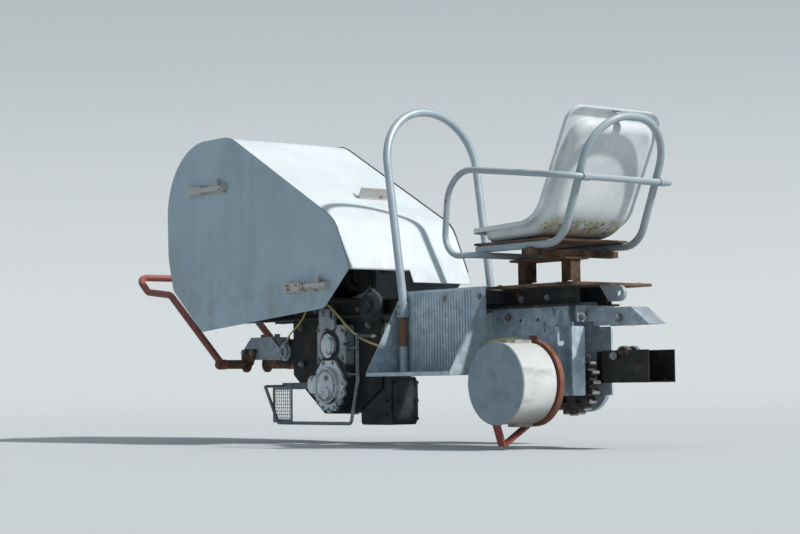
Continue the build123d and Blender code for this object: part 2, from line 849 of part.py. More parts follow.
# Deck plate under the seat
deck_corner = 25.0
with BuildPart() as deck_plate:
    block((foot_rear, deck_rear), (-foot_inner, foot_inner), (beam_top, deck_top))
    fillet(deck_plate.edges().filter_by(Axis.Z).group_by(Axis.X)[-1], deck_corner)
save(deck_plate, "deck_plate")

# Seat posts on foot plates, with the flat bars that carry the tubes
bar_level = 255.0
bar_thickness = 8.0
foot_plate_half = 38.0
foot_plate_thickness = 6.0
flat_bar_half = 50.0
flat_bar_reach = post_side / 2 + 8
cross_bar_half = 20.0
cross_bar_reach = seat_tube_half + 25
post_half = post_side / 2
with BuildPart() as seat_posts:
    for x in (front_post_x, rear_post_x):
        block((x - post_half, x + post_half), (-post_half, post_half), (deck_top, bar_level - bar_thickness))
        front = max(x - foot_plate_half, foot_rear)
        block(
            (front, x + foot_plate_half),
            (-foot_plate_half, foot_plate_half),
            (deck_top, deck_top + foot_plate_thickness),
        )
    block(
        (front_post_x - flat_bar_reach, rear_post_x + flat_bar_reach),
        (-flat_bar_half, flat_bar_half),
        (bar_level - bar_thickness, bar_level),
    )
    block(
        (rear_post_x - cross_bar_half, rear_post_x + cross_bar_half),
        (-cross_bar_reach, cross_bar_reach),
        (bar_level, seat_tube_z - seat_tube_radius),
    )
save(seat_posts, "seat_posts")


def offset_corner(first, corner, last, distance):
    """Corner of two lines moved to the right of their direction by a distance."""
    before = atan2(corner[1] - first[1], corner[0] - first[0])
    after = atan2(last[1] - corner[1], last[0] - corner[0])
    reach = distance / cos((after - before) / 2)
    middle = (before + after) / 2 - pi / 2
    return (corner[0] + reach * cos(middle), corner[1] + reach * sin(middle))


def beside(first, last, point, distance, trim=0.0):
    """A point moved to the right of the direction from first to last, and along it by the trim."""
    angle = atan2(last[1] - first[1], last[0] - first[0])
    return (
        point[0] + trim * cos(angle) + distance * sin(angle),
        point[1] + trim * sin(angle) - distance * cos(angle),
    )


def rim_line(distance, front_trim=0.0, top_trim=0.0):
    """The seat rim's side view moved outward: front end, corner and top end."""
    return (
        beside(seat_rim_front, seat_rim_corner, seat_rim_front, distance, front_trim),
        offset_corner(seat_rim_front, seat_rim_corner, seat_rim_top, distance),
        beside(seat_rim_corner, seat_rim_top, seat_rim_top, distance, -top_trim),
    )


def seat_band(near, far, front_trim=0.0, top_trim=0.0):
    """Closed band between two offsets of the rim line."""
    with BuildSketch(side_plane(0)) as band:
        with BuildLine():
            first = FilletPolyline(*rim_line(near, front_trim, top_trim), radius=seat_bend_radius + near)
            second = FilletPolyline(*rim_line(far, front_trim, top_trim), radius=seat_bend_radius + far)
            Line(first @ 0, second @ 0)
            Line(first @ 1, second @ 1)
        make_face()
    return band.sketch


# Direction from the driver's side of the shell to its back, at the bend
seat_outward = Vector(0.546, 0, -0.838)


def slab(near, far, half, front_trim, top_trim, corner, edge=0.0):
    """Slab that follows the seat's bend, with rounded corners and, if asked, a rounded outer rim."""
    with BuildPart() as bent:
        extrude(seat_band(near, far, front_trim, top_trim), amount=half, both=True)
        thickness = far - near
        fillet(bent.edges().filter_by(lambda side: abs(side.length - thickness) < 0.01), corner)
        if edge:
            outer = [face for face in bent.faces() if face.normal_at().dot(seat_outward) > 0.5]
            sides = [side for face in outer for side in face.edges()]
            fillet([side for side in sides if sum(side.is_same(other) for other in sides) == 1], edge)
    return bent.part


# Seat tube: runs under the shell, rises behind the back in a hoop and holds the shell's top by a strap
tube_knee_x = 690.0
tube_apex = (838.0, 665.0)
tube_front = 300.0
tube_side = ((tube_front, seat_tube_z), (tube_knee_x, seat_tube_z), tube_apex)
tube_bends = [90, 150]
strap_half = 16.0
strap_thickness = 4.0
strap_level = -12.0
strap_reach = 81.0
with BuildPart() as seat_tube:
    with BuildLine() as seat_tube_path:
        FilletPolyline(*loop_points(tube_side, seat_tube_half), radius=tube_bends + tube_bends[::-1])
    tube_along(seat_tube_path.line, seat_tube_path.line @ 0, seat_tube_path.line % 0, seat_tube_radius)
    strap_ends = [
        beside(seat_rim_corner, seat_rim_top, seat_rim_top, distance, level)
        for distance, level in (
            (seat_wall, strap_level),
            (strap_reach, strap_level),
            (strap_reach, strap_level + strap_thickness),
            (seat_wall, strap_level + strap_thickness),
        )
    ]
    with BuildSketch(side_plane(0)):
        with BuildLine():
            Polyline(*strap_ends, close=True)
        make_face()
    extrude(amount=strap_half, both=True)
save(seat_tube, "seat_tube")

# Board on the seat tubes, with two battens that the shell stands on
board_top = seat_tube_z + seat_tube_radius + seat_board_thickness
board_half = seat_tube_half + 10
board_front = seat_rim_front[0] + 7
board_rear = seat_rim_corner[0] + 30
batten_half = 120.0
batten_width = 30.0
batten_places = (70.0, 205.0)
with BuildPart() as seat_board:
    block((board_front, board_rear), (-board_half, board_half), (board_top - seat_board_thickness, board_top))
    for along in batten_places:
        front = beside(seat_rim_front, seat_rim_corner, seat_rim_front, seat_depth, along)
        rear = beside(seat_rim_front, seat_rim_corner, seat_rim_front, seat_depth, along + batten_width)
        with BuildSketch(side_plane(0)):
            with BuildLine():
                Polyline(front, rear, (rear[0], board_top), (front[0], board_top), close=True)
            make_face()
        extrude(amount=batten_half, both=True)
save(seat_board, "seat_board")

# Seat shell: a rim with a turned lip round a deeper dish, all one moulding
rim_corner = 55.0
dish_corner = 60.0
dish_edge = 30.0
dish_front_margin = 22.0
dish_top_margin = 36.0
lip_reach = seat_lip + 6
rim_outside = slab(0, seat_lip, seat_half_width, 0, 0, rim_corner)
rim_inside = slab(
    seat_wall,
    lip_reach,
    seat_half_width - seat_wall,
    seat_wall,
    seat_wall,
    rim_corner - seat_wall,
)
dish_outside = slab(0, seat_depth, seat_dish_half, dish_front_margin, dish_top_margin, dish_corner, dish_edge)
dish_inside = slab(
    -seat_wall,
    seat_depth - seat_wall,
    seat_dish_half - seat_wall,
    dish_front_margin + seat_wall,
    dish_top_margin + seat_wall,
    dish_corner - seat_wall,
    dish_edge - seat_wall,
)
with BuildPart() as seat_shell:
    add(rim_outside)
    add(rim_inside, mode=Mode.SUBTRACT)
    add(dish_outside)
    add(dish_inside, mode=Mode.SUBTRACT)
save(seat_shell, "seat_shell")

# Arm rail: one bent tube round the driver, under the seat's front and behind its back
arm_rear_x = 795.0
arm_rear_z = 478.0
arm_front = (262.0, 545.0)
arm_low = (232.0, bar_level + arm_tube_radius)
arm_points = (
    (arm_rear_x, 0, arm_rear_z),
    (arm_rear_x, -arm_half, arm_rear_z),
    (arm_front[0], -arm_half, arm_front[1]),
    (arm_low[0], -arm_half, arm_low[1]),
    (front_post_x, -arm_half, arm_low[1]),
    (front_post_x, 0, arm_low[1]),
)
leg_run = tube_apex[0] - tube_knee_x
leg_rise = tube_apex[1] - seat_tube_z
leg_x = tube_knee_x + leg_run * (arm_rear_z - seat_tube_z) / leg_rise
leg_lean = degrees(atan2(leg_run, leg_rise))
arm_bends = [90, 110, 70, 38]
clamp_half = 14.0
clamp_wall = 3.0
clamp_height_half = 7.0
clamp_gap = 0.05
with BuildPart() as arm_rail:
    with BuildLine() as arm_path:
        FilletPolyline(*arm_points, radius=arm_bends)
    tube_along(arm_path.line, arm_path.line @ 0, arm_path.line % 0, arm_tube_radius)
    clamp = (-seat_tube_half - clamp_half, -seat_tube_half + clamp_half)
    cross_pin(arm_rear_x, clamp, arm_rear_z, arm_tube_radius + clamp_wall)
    block((leg_x, arm_rear_x), clamp, (arm_rear_z - clamp_height_half, arm_rear_z + clamp_height_half))
    with Locations(Location((leg_x, -seat_tube_half, arm_rear_z), (0, leg_lean, 0))):
        Cylinder(seat_tube_radius + clamp_gap, 6 * clamp_height_half, mode=Mode.SUBTRACT)
    mirror(about=Plane.XZ)
save(arm_rail, "arm_rail")

# Rear carriage side plates: the near one has a channel post, the far one a round shield
side_hole_x = 383.0
side_hole_pitch = 82.0
side_hole_z = 59.0
side_hole_radius = 8.0
plate_step_x = 450.0
post_flange = 45.0
post_wall = 6.0
shield_radius = 92.0
shield_rim = 8.0
rear_plate_corner = 5.0
slot_x = side_hole_x + side_hole_pitch + 32
slot_z = rear_plate_bottom + 24
slot_length = 34.0
slot_width = 10.0
plate_bolts = ((rear_plate_front + 22, 65.0), (brake_x - 23, 81.0))
rib_x = rear_plate_rear - 28
rib_reach = 30.0
rib_thickness = 5.0
for name, side in (("rear_plate_near", -1), ("rear_plate_far", 1)):
    with BuildPart() as plate:
        with BuildSketch(side_plane(side * plate_inner)):
            with BuildLine():
                FilletPolyline(
                    (rear_plate_front, rear_plate_bottom),
                    (rear_plate_front, rear_plate_top),
                    (rear_plate_rear, rear_plate_top),
                    (rear_plate_rear + 10, post_top),
                    (post_rear, post_top),
                    (post_rear, post_bottom),
                    (plate_step_x, post_bottom),
                    (plate_step_x, rear_plate_bottom),
                    radius=rear_plate_corner,
                    close=True,
                )
            make_face()
            if side > 0:
                with Locations((brake_x, pinion_z)):
                    Circle(shield_radius)
            with Locations((brake_x, pinion_z)):
                Circle(pinion_shaft_radius + shaft_clearance, mode=Mode.SUBTRACT)
            with Locations((rear_roller_x, upper_z)):
                Circle(roller_axle_radius + shaft_clearance, mode=Mode.SUBTRACT)
            with Locations((side_hole_x, side_hole_z), (side_hole_x + side_hole_pitch, side_hole_z)):
                Circle(side_hole_radius, mode=Mode.SUBTRACT)
            with Locations((slot_x, slot_z)):
                SlotOverall(slot_length, slot_width, rotation=90, mode=Mode.SUBTRACT)
        extrude(amount=-side * plate_thickness)
        for x, z in plate_bolts:
            bolt_head(x, side, plate_outer, z, head_radius, head_height)
        face = side * plate_outer
        if side < 0:
            for x in (post_front, post_rear - post_wall):
                block((x, x + post_wall), (face - post_flange, face), (post_bottom, post_top))
        else:
            with BuildSketch(side_plane(face)):
                with Locations((brake_x, pinion_z)):
                    Circle(shield_radius)
                    Circle(shield_radius - shield_rim, mode=Mode.SUBTRACT)
            extrude(amount=-side * shield_rim)
        with BuildSketch(Plane.YZ.offset(rib_x)):
            with BuildLine():
                Polyline(
                    (face, post_top + 2),
                    (face + side * rib_reach, post_top + 2),
                    (face, beam_bottom - 12),
                    close=True,
                )
            make_face()
        extrude(amount=rib_thickness)
    save(plate, name)

# Cross plate between the beams' rear ends, and the guide that it carries over the rail
cross_plate_x = 654.0
cross_plate_thickness = 8.0
cross_plate_bottom = 47.0
cross_plate_half = 80.0
cross_hole_y = 41.0
cross_hole_z = 73.0
cross_hole_radius = 9.0
guide_channel_half = 38.0
channel_wall = 5.0
channel_front = 690.0
channel_rear = 923.0
channel_bottom = 33.0
channel_top = 87.0
channel_slant = 75.0
with BuildPart() as rear_guide_top:
    with BuildSketch(side_plane(0)):
        with BuildLine():
            Polyline(
                (channel_front, channel_bottom),
                (channel_front, channel_top),
                (channel_rear - channel_slant, channel_top),
                (channel_rear, channel_bottom),
                close=True,
            )
        make_face()
    extrude(amount=guide_channel_half, both=True)
    slant = channel_slant / (channel_top - channel_bottom)
    with BuildSketch(side_plane(0)):
        with BuildLine():
            Polyline(
                (channel_front - 10, channel_bottom - 10),
                (channel_front - 10, channel_top - channel_wall),
                (channel_rear - channel_slant + slant * channel_wall - 7, channel_top - channel_wall),
                (channel_rear + slant * 10 - 7, channel_bottom - 10),
                close=True,
            )
        make_face()
    extrude(amount=guide_channel_half - channel_wall, both=True, mode=Mode.SUBTRACT)
    axle_span = (-guide_channel_half - 1, guide_channel_half + 1)
    cross_pin(tail_roller_x, axle_span, tail_z, roller_axle_radius + shaft_clearance, mode=Mode.SUBTRACT)
    with BuildSketch(Plane.YZ.offset(cross_plate_x)):
        with Locations((0, (cross_plate_bottom + beam_bottom) / 2)):
            Rectangle(2 * cross_plate_half, beam_bottom - cross_plate_bottom)
        with Locations((-cross_hole_y, cross_hole_z), (cross_hole_y, cross_hole_z)):
            Circle(cross_hole_radius, mode=Mode.SUBTRACT)
    extrude(amount=cross_plate_thickness)
    for side in (-1, 1):
        web = (side * (guide_channel_half - channel_wall), side * guide_channel_half)
        block((cross_plate_x + cross_plate_thickness, channel_front), web, (cross_plate_bottom, channel_top))
save(rear_guide_top, "rear_guide_top")

low_front = 743.0
low_rear = 937.0
low_top = -44.0
low_bottom = -142.0
low_wall = 4.0
low_far_lap = 60.0
with BuildPart() as rear_guide_low:
    for side, front in ((-1, low_front), (1, post_rear - low_far_lap)):
        block((front, low_rear), (side * (plate_inner - low_wall), side * plate_inner), (low_bottom, low_top))
    block((low_front, low_rear), (-plate_inner, plate_inner), (low_bottom, low_bottom + low_wall))
    axle_span = (-plate_inner - 1, plate_inner + 1)
    cross_pin(tail_roller_x, axle_span, lower_z, roller_axle_radius + shaft_clearance, mode=Mode.SUBTRACT)
save(rear_guide_low, "rear_guide_low")

# Brake drum with its hub and the bars that clamp its cover
drum_step = 3.0
disc_thickness = 6.0
hub_outer = 30.0
drum_bevel = 2.0
shaft_bore = pinion_shaft_radius + 2
drum_flange_radius = 120.0
lug_half = 20.0
lug_height = 9.0
lug_root = 4.0
lug_span = (drum_back - 72, drum_back - 6)
with BuildPart() as brake_drum:
    with BuildSketch(roll_plane(brake_x, pinion_z)):
        with BuildLine():
            Polyline(
                (drum_front, 0),
                (drum_front, drum_radius - drum_bevel),
                (drum_front + drum_bevel, drum_radius),
                (drum_front + disc_thickness, drum_radius),
                (drum_front + disc_thickness, drum_radius - drum_step),
                (drum_back, drum_radius - drum_step),
                (drum_back, drum_flange_radius),
                (drum_flange_back, drum_flange_radius),
                (drum_flange_back, 2 * hub_outer),
                (drum_flange_back + 20, hub_outer),
                (-plate_outer, hub_outer),
                (-plate_outer, shaft_bore),
                (drum_back, shaft_bore),
                (drum_back, 0),
                close=True,
            )
        make_face()
    revolve(axis=roll_axis(brake_x, pinion_z))
    for level in (-1, 1):
        surface = pinion_z + level * (drum_radius - drum_step)
        block(
            (brake_x - lug_half, brake_x + lug_half),
            lug_span,
            (surface - level * lug_root, surface + level * lug_height),
        )
save(brake_drum, "brake_drum")

ring_inner = drum_flange_radius
ring_outer = 133.0
ring_half = 9.0
ring_y = (drum_flange_back + drum_back) / 2
cable_boss_front = brake_x - 5
cable_boss_length = 20.0
cable_boss_half = 7.0
cable_boss_top = pinion_z + ring_outer + 13
with BuildPart() as drum_ring:
    with BuildSketch(roll_plane(brake_x, pinion_z)):
        with Locations((ring_y, (ring_inner + ring_outer) / 2)):
            Rectangle(2 * ring_half, ring_outer - ring_inner)
    revolve(axis=roll_axis(brake_x, pinion_z))
    block(
        (cable_boss_front, cable_boss_front + cable_boss_length),
        (ring_y - cable_boss_half, ring_y + cable_boss_half),
        (pinion_z + ring_outer - 5, cable_boss_top),
    )
save(drum_ring, "drum_ring")

# Forked bracket under the drum
fork_half = 15.0
fork_tip_z = -330.0
fork_bar = 8.0
drum_low = pinion_z - drum_radius
drum_lug_low = drum_low + drum_step - lug_height
with BuildPart() as drum_bracket:
    with BuildSketch(Plane.YZ.offset(brake_x - fork_half)):
        with BuildLine():
            Polyline(
                (drum_front + 8, drum_low + 2),
                (-303, fork_tip_z + fork_bar),
                (-297, fork_tip_z + fork_bar),
                (-215, drum_lug_low),
                (-203, drum_lug_low),
                (-203, drum_lug_low - 3),
                (-296, fork_tip_z),
                (-307, fork_tip_z),
                (drum_front, drum_low + 2),
                close=True,
            )
        make_face()
    extrude(amount=2 * fork_half)
    rim = (drum_front - 1, drum_front + 20)
    cross_pin(brake_x, rim, pinion_z, drum_radius + shaft_clearance, mode=Mode.SUBTRACT)
save(drum_bracket, "drum_bracket")

# Tow lug at the rear end of the deck
lug_thickness = 12.0
lug_radius = 25.0
tow_hole_radius = 10.0
tow_x = deck_rear + 20
tow_z = beam_top - 25
with BuildPart() as tow_lug:
    with BuildSketch(side_plane(lug_thickness / 2)):
        with BuildLine():
            Polyline(
                (deck_rear - 60, beam_top),
                (tow_x, beam_top),
                (tow_x, tow_z - lug_radius),
                (deck_rear - 20, tow_z - lug_radius),
                close=True,
            )
        make_face()
        with Locations((tow_x, tow_z)):
            Circle(lug_radius)
            Circle(tow_hole_radius, mode=Mode.SUBTRACT)
    extrude(amount=lug_thickness)
save(tow_lug, "tow_lug")


tooth_root_width = 19.0
tooth_flank = 76.0
tooth_root = 2.0
web_hole_circle = 60.0
web_hole_radius = 12.0
web_hole_count = 6
pinion_hub_half = pinion_width / 2 + 12
pinion_hub_radius = pinion_shaft_radius + 14
shaft_end = plate_outer + 20
drum_shaft_end = plate_outer + 80


def pinion(name, x, reach_near):
    """Toothed wheel that meshes with the rack under the rail, with its shaft."""
    with BuildPart() as wheel:
        with BuildSketch(side_plane(pinion_width / 2)):
            with Locations((x, pinion_z)):
                Circle(pinion_root_radius)
                with PolarLocations(pinion_root_radius - tooth_root, pinion_teeth, start_angle=90):
                    Trapezoid(
                        tooth_root_width,
                        tooth_height + tooth_root,
                        tooth_flank,
                        rotation=-90,
                        align=(Align.CENTER, Align.MIN),
                    )
                with PolarLocations(web_hole_circle, web_hole_count):
                    Circle(web_hole_radius, mode=Mode.SUBTRACT)
        extrude(amount=pinion_width)
        cross_pin(x, (-pinion_hub_half, pinion_hub_half), pinion_z, pinion_hub_radius)
        cross_pin(x, (-reach_near, shaft_end), pinion_z, pinion_shaft_radius)
    save(wheel, name)


pinion("drive_pinion", drive_x, shaft_end)
pinion("brake_pinion", brake_x, drum_shaft_end)


def roller(name, x, z, reach, profile):
    """Roller with its axle, turned from half of its section: places along Y and radii."""
    with BuildPart() as wheel:
        with BuildSketch(roll_plane(x, z)):
            with BuildLine():
                half = [(roller_half_width, roller_axle_radius), (reach, roller_axle_radius), (reach, 0)]
                ring = profile + half
                Polyline(*[(-y, radius) for y, radius in ring[::-1]], *ring, close=True)
            make_face()
        revolve(axis=roll_axis(x, z))
    save(wheel, name)


tread_bevel = 3.0


def plain_tread(radius):
    """Section of a flangeless tread with broken edges."""
    return [(roller_half_width - tread_bevel, radius), (roller_half_width, radius - tread_bevel)]


def grooved_tread(radius):
    """Section of a tread with a groove in the middle that clears the rack."""
    return [
        (rack_groove_half, roller_axle_radius),
        (rack_groove_half, radius),
        (roller_half_width, radius),
    ]


roller("front_roller_top", front_roller_x, upper_z, plate_outer, plain_tread(upper_radius))
roller("middle_roller_top", middle_roller_x, upper_z, plate_outer, plain_tread(upper_radius))
roller("rear_roller_top", rear_roller_x, upper_z, plate_outer, plain_tread(upper_radius))
roller("tail_roller_top", tail_roller_x, tail_z, guide_channel_half + 6, plain_tread(tail_radius))
roller("front_roller_low", front_low_x, lower_z, plate_outer + 6, grooved_tread(lower_radius))
roller("tail_roller_low", tail_roller_x, lower_z, plate_outer, grooved_tread(lower_radius))

# Control cable, held from the engine's side to the brake drum's ring
cable_points = [
    (cable_exit_x + cable_seat, cable_exit_y, 150),
    (-562, cable_exit_y, 150),
    (-505, -122, 108),
    (-450, -121, 64),
    (-395, -119, 30),
    (-335, -119, 8),
    (-270, -122, -7),
    (-190, -135, -16),
    (-105, -155, -22),
    (-20, cable_side, -25),
    (90, cable_side, -26),
    (200, cable_side, -23),
    (300, cable_side, -14),
    (390, -173, -4),
    (470, -174, -1),
    (cable_boss_front - cable_seat, ring_y, -2.7),
]


def bend_radii(points):
    """Radius at each corner of a route: as large as its two runs allow."""
    radii = []
    for before, here, after in zip(points, points[1:], points[2:]):
        first = Vector(*here) - Vector(*before)
        second = Vector(*after) - Vector(*here)
        half_turn = radians(first.get_angle(second)) / 2
        radii.append(0.45 * min(first.length, second.length) / tan(half_turn))
    return radii


cable_bends = bend_radii(cable_points)
print("cable bend radii", [round(radius) for radius in cable_bends])
with BuildPart() as control_cable:
    with BuildLine() as cable_path:
        cable_line = FilletPolyline(*cable_points, radius=cable_bends)
    with BuildSketch(Plane(origin=cable_line @ 0, z_dir=cable_line % 0)):
        Circle(cable_radius)
    sweep(path=cable_path.line)
save(control_cable, "control_cable")
cable_section = pi * cable_radius**2
print("cable volume", control_cable.part.volume, "section times length", cable_section * cable_line.length)
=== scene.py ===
# %% [markdown]
# # A rack monorail's powered unit
#
# The unit straddles one square rail. Its frame, plates, rollers, pinions, tubes, seat shell and sheets come
# from the CAD model with their real sizes. This script gives them their finishes, and adds what is easier to
# model here: the engine under the hood, the cables, woven mesh, fasteners, welds and seals.
# Everything is in metres, with the rail along X, the driver facing -X, and Z up.

# %% Load the frame
import json
from math import atan2, cos, pi, radians, sin, tan

import bpy
from mathutils import Matrix, Vector


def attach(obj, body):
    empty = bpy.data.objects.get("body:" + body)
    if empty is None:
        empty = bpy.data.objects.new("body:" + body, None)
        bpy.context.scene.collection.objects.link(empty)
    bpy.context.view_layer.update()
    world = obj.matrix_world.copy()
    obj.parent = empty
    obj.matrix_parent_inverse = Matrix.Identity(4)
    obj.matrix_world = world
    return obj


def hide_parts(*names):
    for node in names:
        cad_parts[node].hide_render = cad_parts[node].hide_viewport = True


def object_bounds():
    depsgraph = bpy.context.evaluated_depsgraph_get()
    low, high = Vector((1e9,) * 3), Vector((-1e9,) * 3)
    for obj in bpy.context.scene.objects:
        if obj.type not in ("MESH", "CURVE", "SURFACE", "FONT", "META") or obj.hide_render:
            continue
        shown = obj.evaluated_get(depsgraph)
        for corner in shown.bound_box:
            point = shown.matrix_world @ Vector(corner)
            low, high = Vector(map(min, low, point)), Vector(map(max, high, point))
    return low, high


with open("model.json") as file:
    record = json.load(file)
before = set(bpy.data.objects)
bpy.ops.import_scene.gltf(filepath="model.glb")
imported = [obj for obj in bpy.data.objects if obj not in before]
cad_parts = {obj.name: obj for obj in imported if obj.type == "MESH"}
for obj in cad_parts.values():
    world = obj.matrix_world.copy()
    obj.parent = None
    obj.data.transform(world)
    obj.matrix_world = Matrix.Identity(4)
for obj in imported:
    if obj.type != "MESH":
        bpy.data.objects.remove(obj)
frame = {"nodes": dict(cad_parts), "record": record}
nodes = frame["nodes"]
cad_box = [list(corner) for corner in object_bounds()]
print("CAD box", cad_box)

# %% [markdown]
# ## Camera
#
# The photograph is taken from behind and left of the driver, a hand below the rail, looking slightly up.
# The camera stands at that place. It is turned to the unit and has a longer lens, so the perspective stays
# the same and the unit fills the picture.

# %% Camera
eye = Vector((5.1029, -4.3496, -0.1410))
photo_forward = Vector((-0.6413, 0.7602, 0.1042))
photo_up = Vector((0.0921, -0.0586, 0.9940))
photo_right = Vector((0.7618, 0.6470, -0.0324))
photo_focal = 947.0
aim_pixels = (-183.0, -48.0)
look = (photo_forward * photo_focal + photo_right * aim_pixels[0] + photo_up * aim_pixels[1]).normalized()
look_right = look.cross(photo_up).normalized()
look_up = look_right.cross(look)
camera_data = bpy.data.cameras.new("camera")
camera_data.lens = 90.0
camera_data.sensor_width = 36.0
camera_data.clip_end = 100.0
camera = bpy.data.objects.new("camera", camera_data)
bpy.context.scene.collection.objects.link(camera)
camera_turn = Matrix((look_right, look_up, -look)).transposed()
camera.matrix_world = Matrix.Translation(eye) @ camera_turn.to_4x4()
bpy.context.scene.camera = camera
bpy.context.scene.view_settings.view_transform = "Standard"

# %% [markdown]
# ## Floor and light
#
# A pale sweep stands behind the unit: a floor that rises in a curve to a wall, made by extruding the far
# edge of a plane in small turns. One large sun lights it from behind the seat, as in the photograph, and
# the sky fills the shaded side.


# %% Selecting, and picking edges
def deselect_all():
    """Leave nothing selected, so that an operator acts only on what comes next."""
    bpy.ops.object.select_all(action="DESELECT")


def end_edit():
    """Go back to object mode."""
    bpy.ops.object.mode_set(mode="OBJECT")


def start_picking(piece, kind):
    """Clear a piece's own selection, and stay in object mode, where faces and edges are picked."""
    bpy.context.view_layer.objects.active = piece
    bpy.ops.object.mode_set(mode="EDIT")
    bpy.ops.mesh.select_mode(type=kind)
    bpy.ops.mesh.select_all(action="DESELECT")
    end_edit()


def pick_edges(piece, rule):
    """Enter edit mode with only those edges selected whose two ends fit the rule."""
    start_picking(piece, "EDGE")
    for edge in piece.data.edges:
        edge.select = rule(*(piece.data.vertices[end].co for end in edge.vertices))
    bpy.ops.object.mode_set(mode="EDIT")


# %% Floor that curves up to a wall
floor_level = cad_box[0][2] - 0.012
half_floor = 20.0
wall_distance = 9.0
curve_radius = 4.0
curve_steps = 10
deselect_all()
bpy.ops.mesh.primitive_plane_add(size=1)
floor = bpy.context.object
floor.name = "floor"
for corner, place in zip(floor.data.vertices, ((-1, -1), (1, -1), (-1, 1), (1, 1))):
    corner.co = (place[0] * half_floor, wall_distance if place[1] > 0 else -half_floor, 0)
pick_edges(floor, lambda first, second: first.y > 0 and second.y > 0)
step_angle = pi / 2 / curve_steps
for step in range(curve_steps):
    middle = step_angle * (step + 0.5)
    reach = 2 * curve_radius * sin(step_angle / 2)
    move = (0, reach * cos(middle), reach * sin(middle))
    bpy.ops.mesh.extrude_region_move(TRANSFORM_OT_translate={"value": move})
bpy.ops.mesh.extrude_region_move(TRANSFORM_OT_translate={"value": (0, 0, half_floor)})
end_edit()
floor.data.shade_smooth()
view_turn = Matrix.Rotation(atan2(-look.x, look.y), 4, "Z")
floor.data.transform(Matrix.Translation((0, 0, floor_level)) @ view_turn)
paper = bpy.data.materials.new("paper")
paper.use_nodes = True
paper_shader = paper.node_tree.nodes["Principled BSDF"]
paper_shader.inputs["Base Color"].default_value = (0.54, 0.56, 0.57, 1.0)
paper_shader.inputs["Roughness"].default_value = 0.9
floor.data.materials.append(paper)

# %% Sun and sky
sun_from = Vector((0.678, 0.274, 0.682))
sun_data = bpy.data.lights.new("sun", "SUN")
sun_data.energy = 3.5
sun_data.angle = radians(2.5)
sun_data.color = (1.0, 0.97, 0.93)
sun = bpy.data.objects.new("sun", sun_data)
bpy.context.scene.collection.objects.link(sun)
sun.rotation_mode = "QUATERNION"
sun.rotation_quaternion = sun_from.to_track_quat("Z", "Y")
sky = bpy.data.worlds.new("sky")
bpy.context.scene.world = sky
sky.use_nodes = True
sky_light = sky.node_tree.nodes["Background"]
sky_light.inputs["Color"].default_value = (0.70, 0.87, 1.0, 1.0)
sky_light.inputs["Strength"].default_value = 0.42

# %% [markdown]
# ## A small language for finishes
#
# A finish is arithmetic on patterns: rust shows where a noise is high, and paint where it is low. The class
# below wraps a socket of a shader tree, so that such arithmetic is written as plain expressions. Each
# operator adds one Math node, and any other node comes from the method `node`.


# %% The class that wraps a socket
class Wire:
    """One output socket, with the operators that the finishes use."""

    def __init__(self, tree, socket):
        self.tree = tree
        self.socket = socket

    def node(self, kind, settings, inputs, output=0):
        """Add a node: first its settings, then the values or links of its sockets."""
        made = self.tree.nodes.new(kind)
        for name, value in settings.items():
            setattr(made, name, value)
        for name, value in inputs.items():
            if isinstance(value, Wire):
                self.tree.links.new(value.socket, made.inputs[name])
            else:
                made.inputs[name].default_value = value
        return Wire(self.tree, made.outputs[output])

    def math(self, operation, first, second=0.0):
        return self.node("ShaderNodeMath", {"operation": operation}, {0: first, 1: second})

    def __add__(self, other):
        return self.math("ADD", self, other)

    def __sub__(self, other):
        return self.math("SUBTRACT", self, other)

    def __rsub__(self, other):
        return self.math("SUBTRACT", other, self)

    def __mul__(self, other):
        return self.math("MULTIPLY", self, other)

    __radd__ = __add__
    __rmul__ = __mul__

    def __abs__(self):
        return self.math("ABSOLUTE", self)

    def root(self):
        return self.math("SQRT", self)

    def highest(self, other):
        return self.math("MAXIMUM", self, other)

    def lowest(self, other):
        return self.math("MINIMUM", self, other)

    def step(self, low, high):
        """0 below low, 1 above high, smooth between; low may be the larger of the two."""
        span = {"From Min": low, "From Max": high, "To Min": 0.0, "To Max": 1.0}
        return self.node("ShaderNodeMapRange", {"interpolation_type": "SMOOTHSTEP"}, {"Value": self, **span})

    def between(self, low, high, soft):
        """1 between low and high, with soft ends."""
        return self.step(low - soft, low + soft) * self.step(high + soft, high - soft)

    def blend(self, first, second):
        """Colour that goes from the first to the second as this value goes from 0 to 1."""
        first, second = (colour if isinstance(colour, Wire) else (*colour, 1.0) for colour in (first, second))
        return self.node("ShaderNodeMix", {"data_type": "RGBA"}, {0: self, 6: first, 7: second}, 2)

    def part(self, axis):
        """One coordinate of a vector: X, Y or Z."""
        return self.node("ShaderNodeSeparateXYZ", {}, {0: self}, axis)

    def noise(self, scale, detail=4.0, roughness=0.6, stretch=(1, 1, 1)):
        """Cloudy pattern from 0 to 1, with about scale clouds to a metre."""
        spot = self.node("ShaderNodeMapping", {}, {"Vector": self, "Scale": stretch})
        inputs = {"Vector": spot, "Scale": scale, "Detail": detail, "Roughness": roughness}
        return self.node("ShaderNodeTexNoise", {}, inputs)

    def cells(self, scale, output="Distance"):
        """Pattern of cells, with about scale of them to a metre."""
        return self.node("ShaderNodeTexVoronoi", {}, {"Vector": self, "Scale": scale}, output)


# %% [markdown]
# A finish starts from the place on the piece, in metres, and the way its surface faces. Both are read in the
# piece's own space, so a finish moves with the piece.


# %% How a finish begins and ends
def start_finish(name):
    """A new material with its place and facing wires."""
    material = bpy.data.materials.new(name)
    material.use_nodes = True
    tree = material.node_tree
    coordinates = tree.nodes.new("ShaderNodeTexCoord")
    return material, Wire(tree, coordinates.outputs["Object"]), Wire(tree, coordinates.outputs["Normal"])


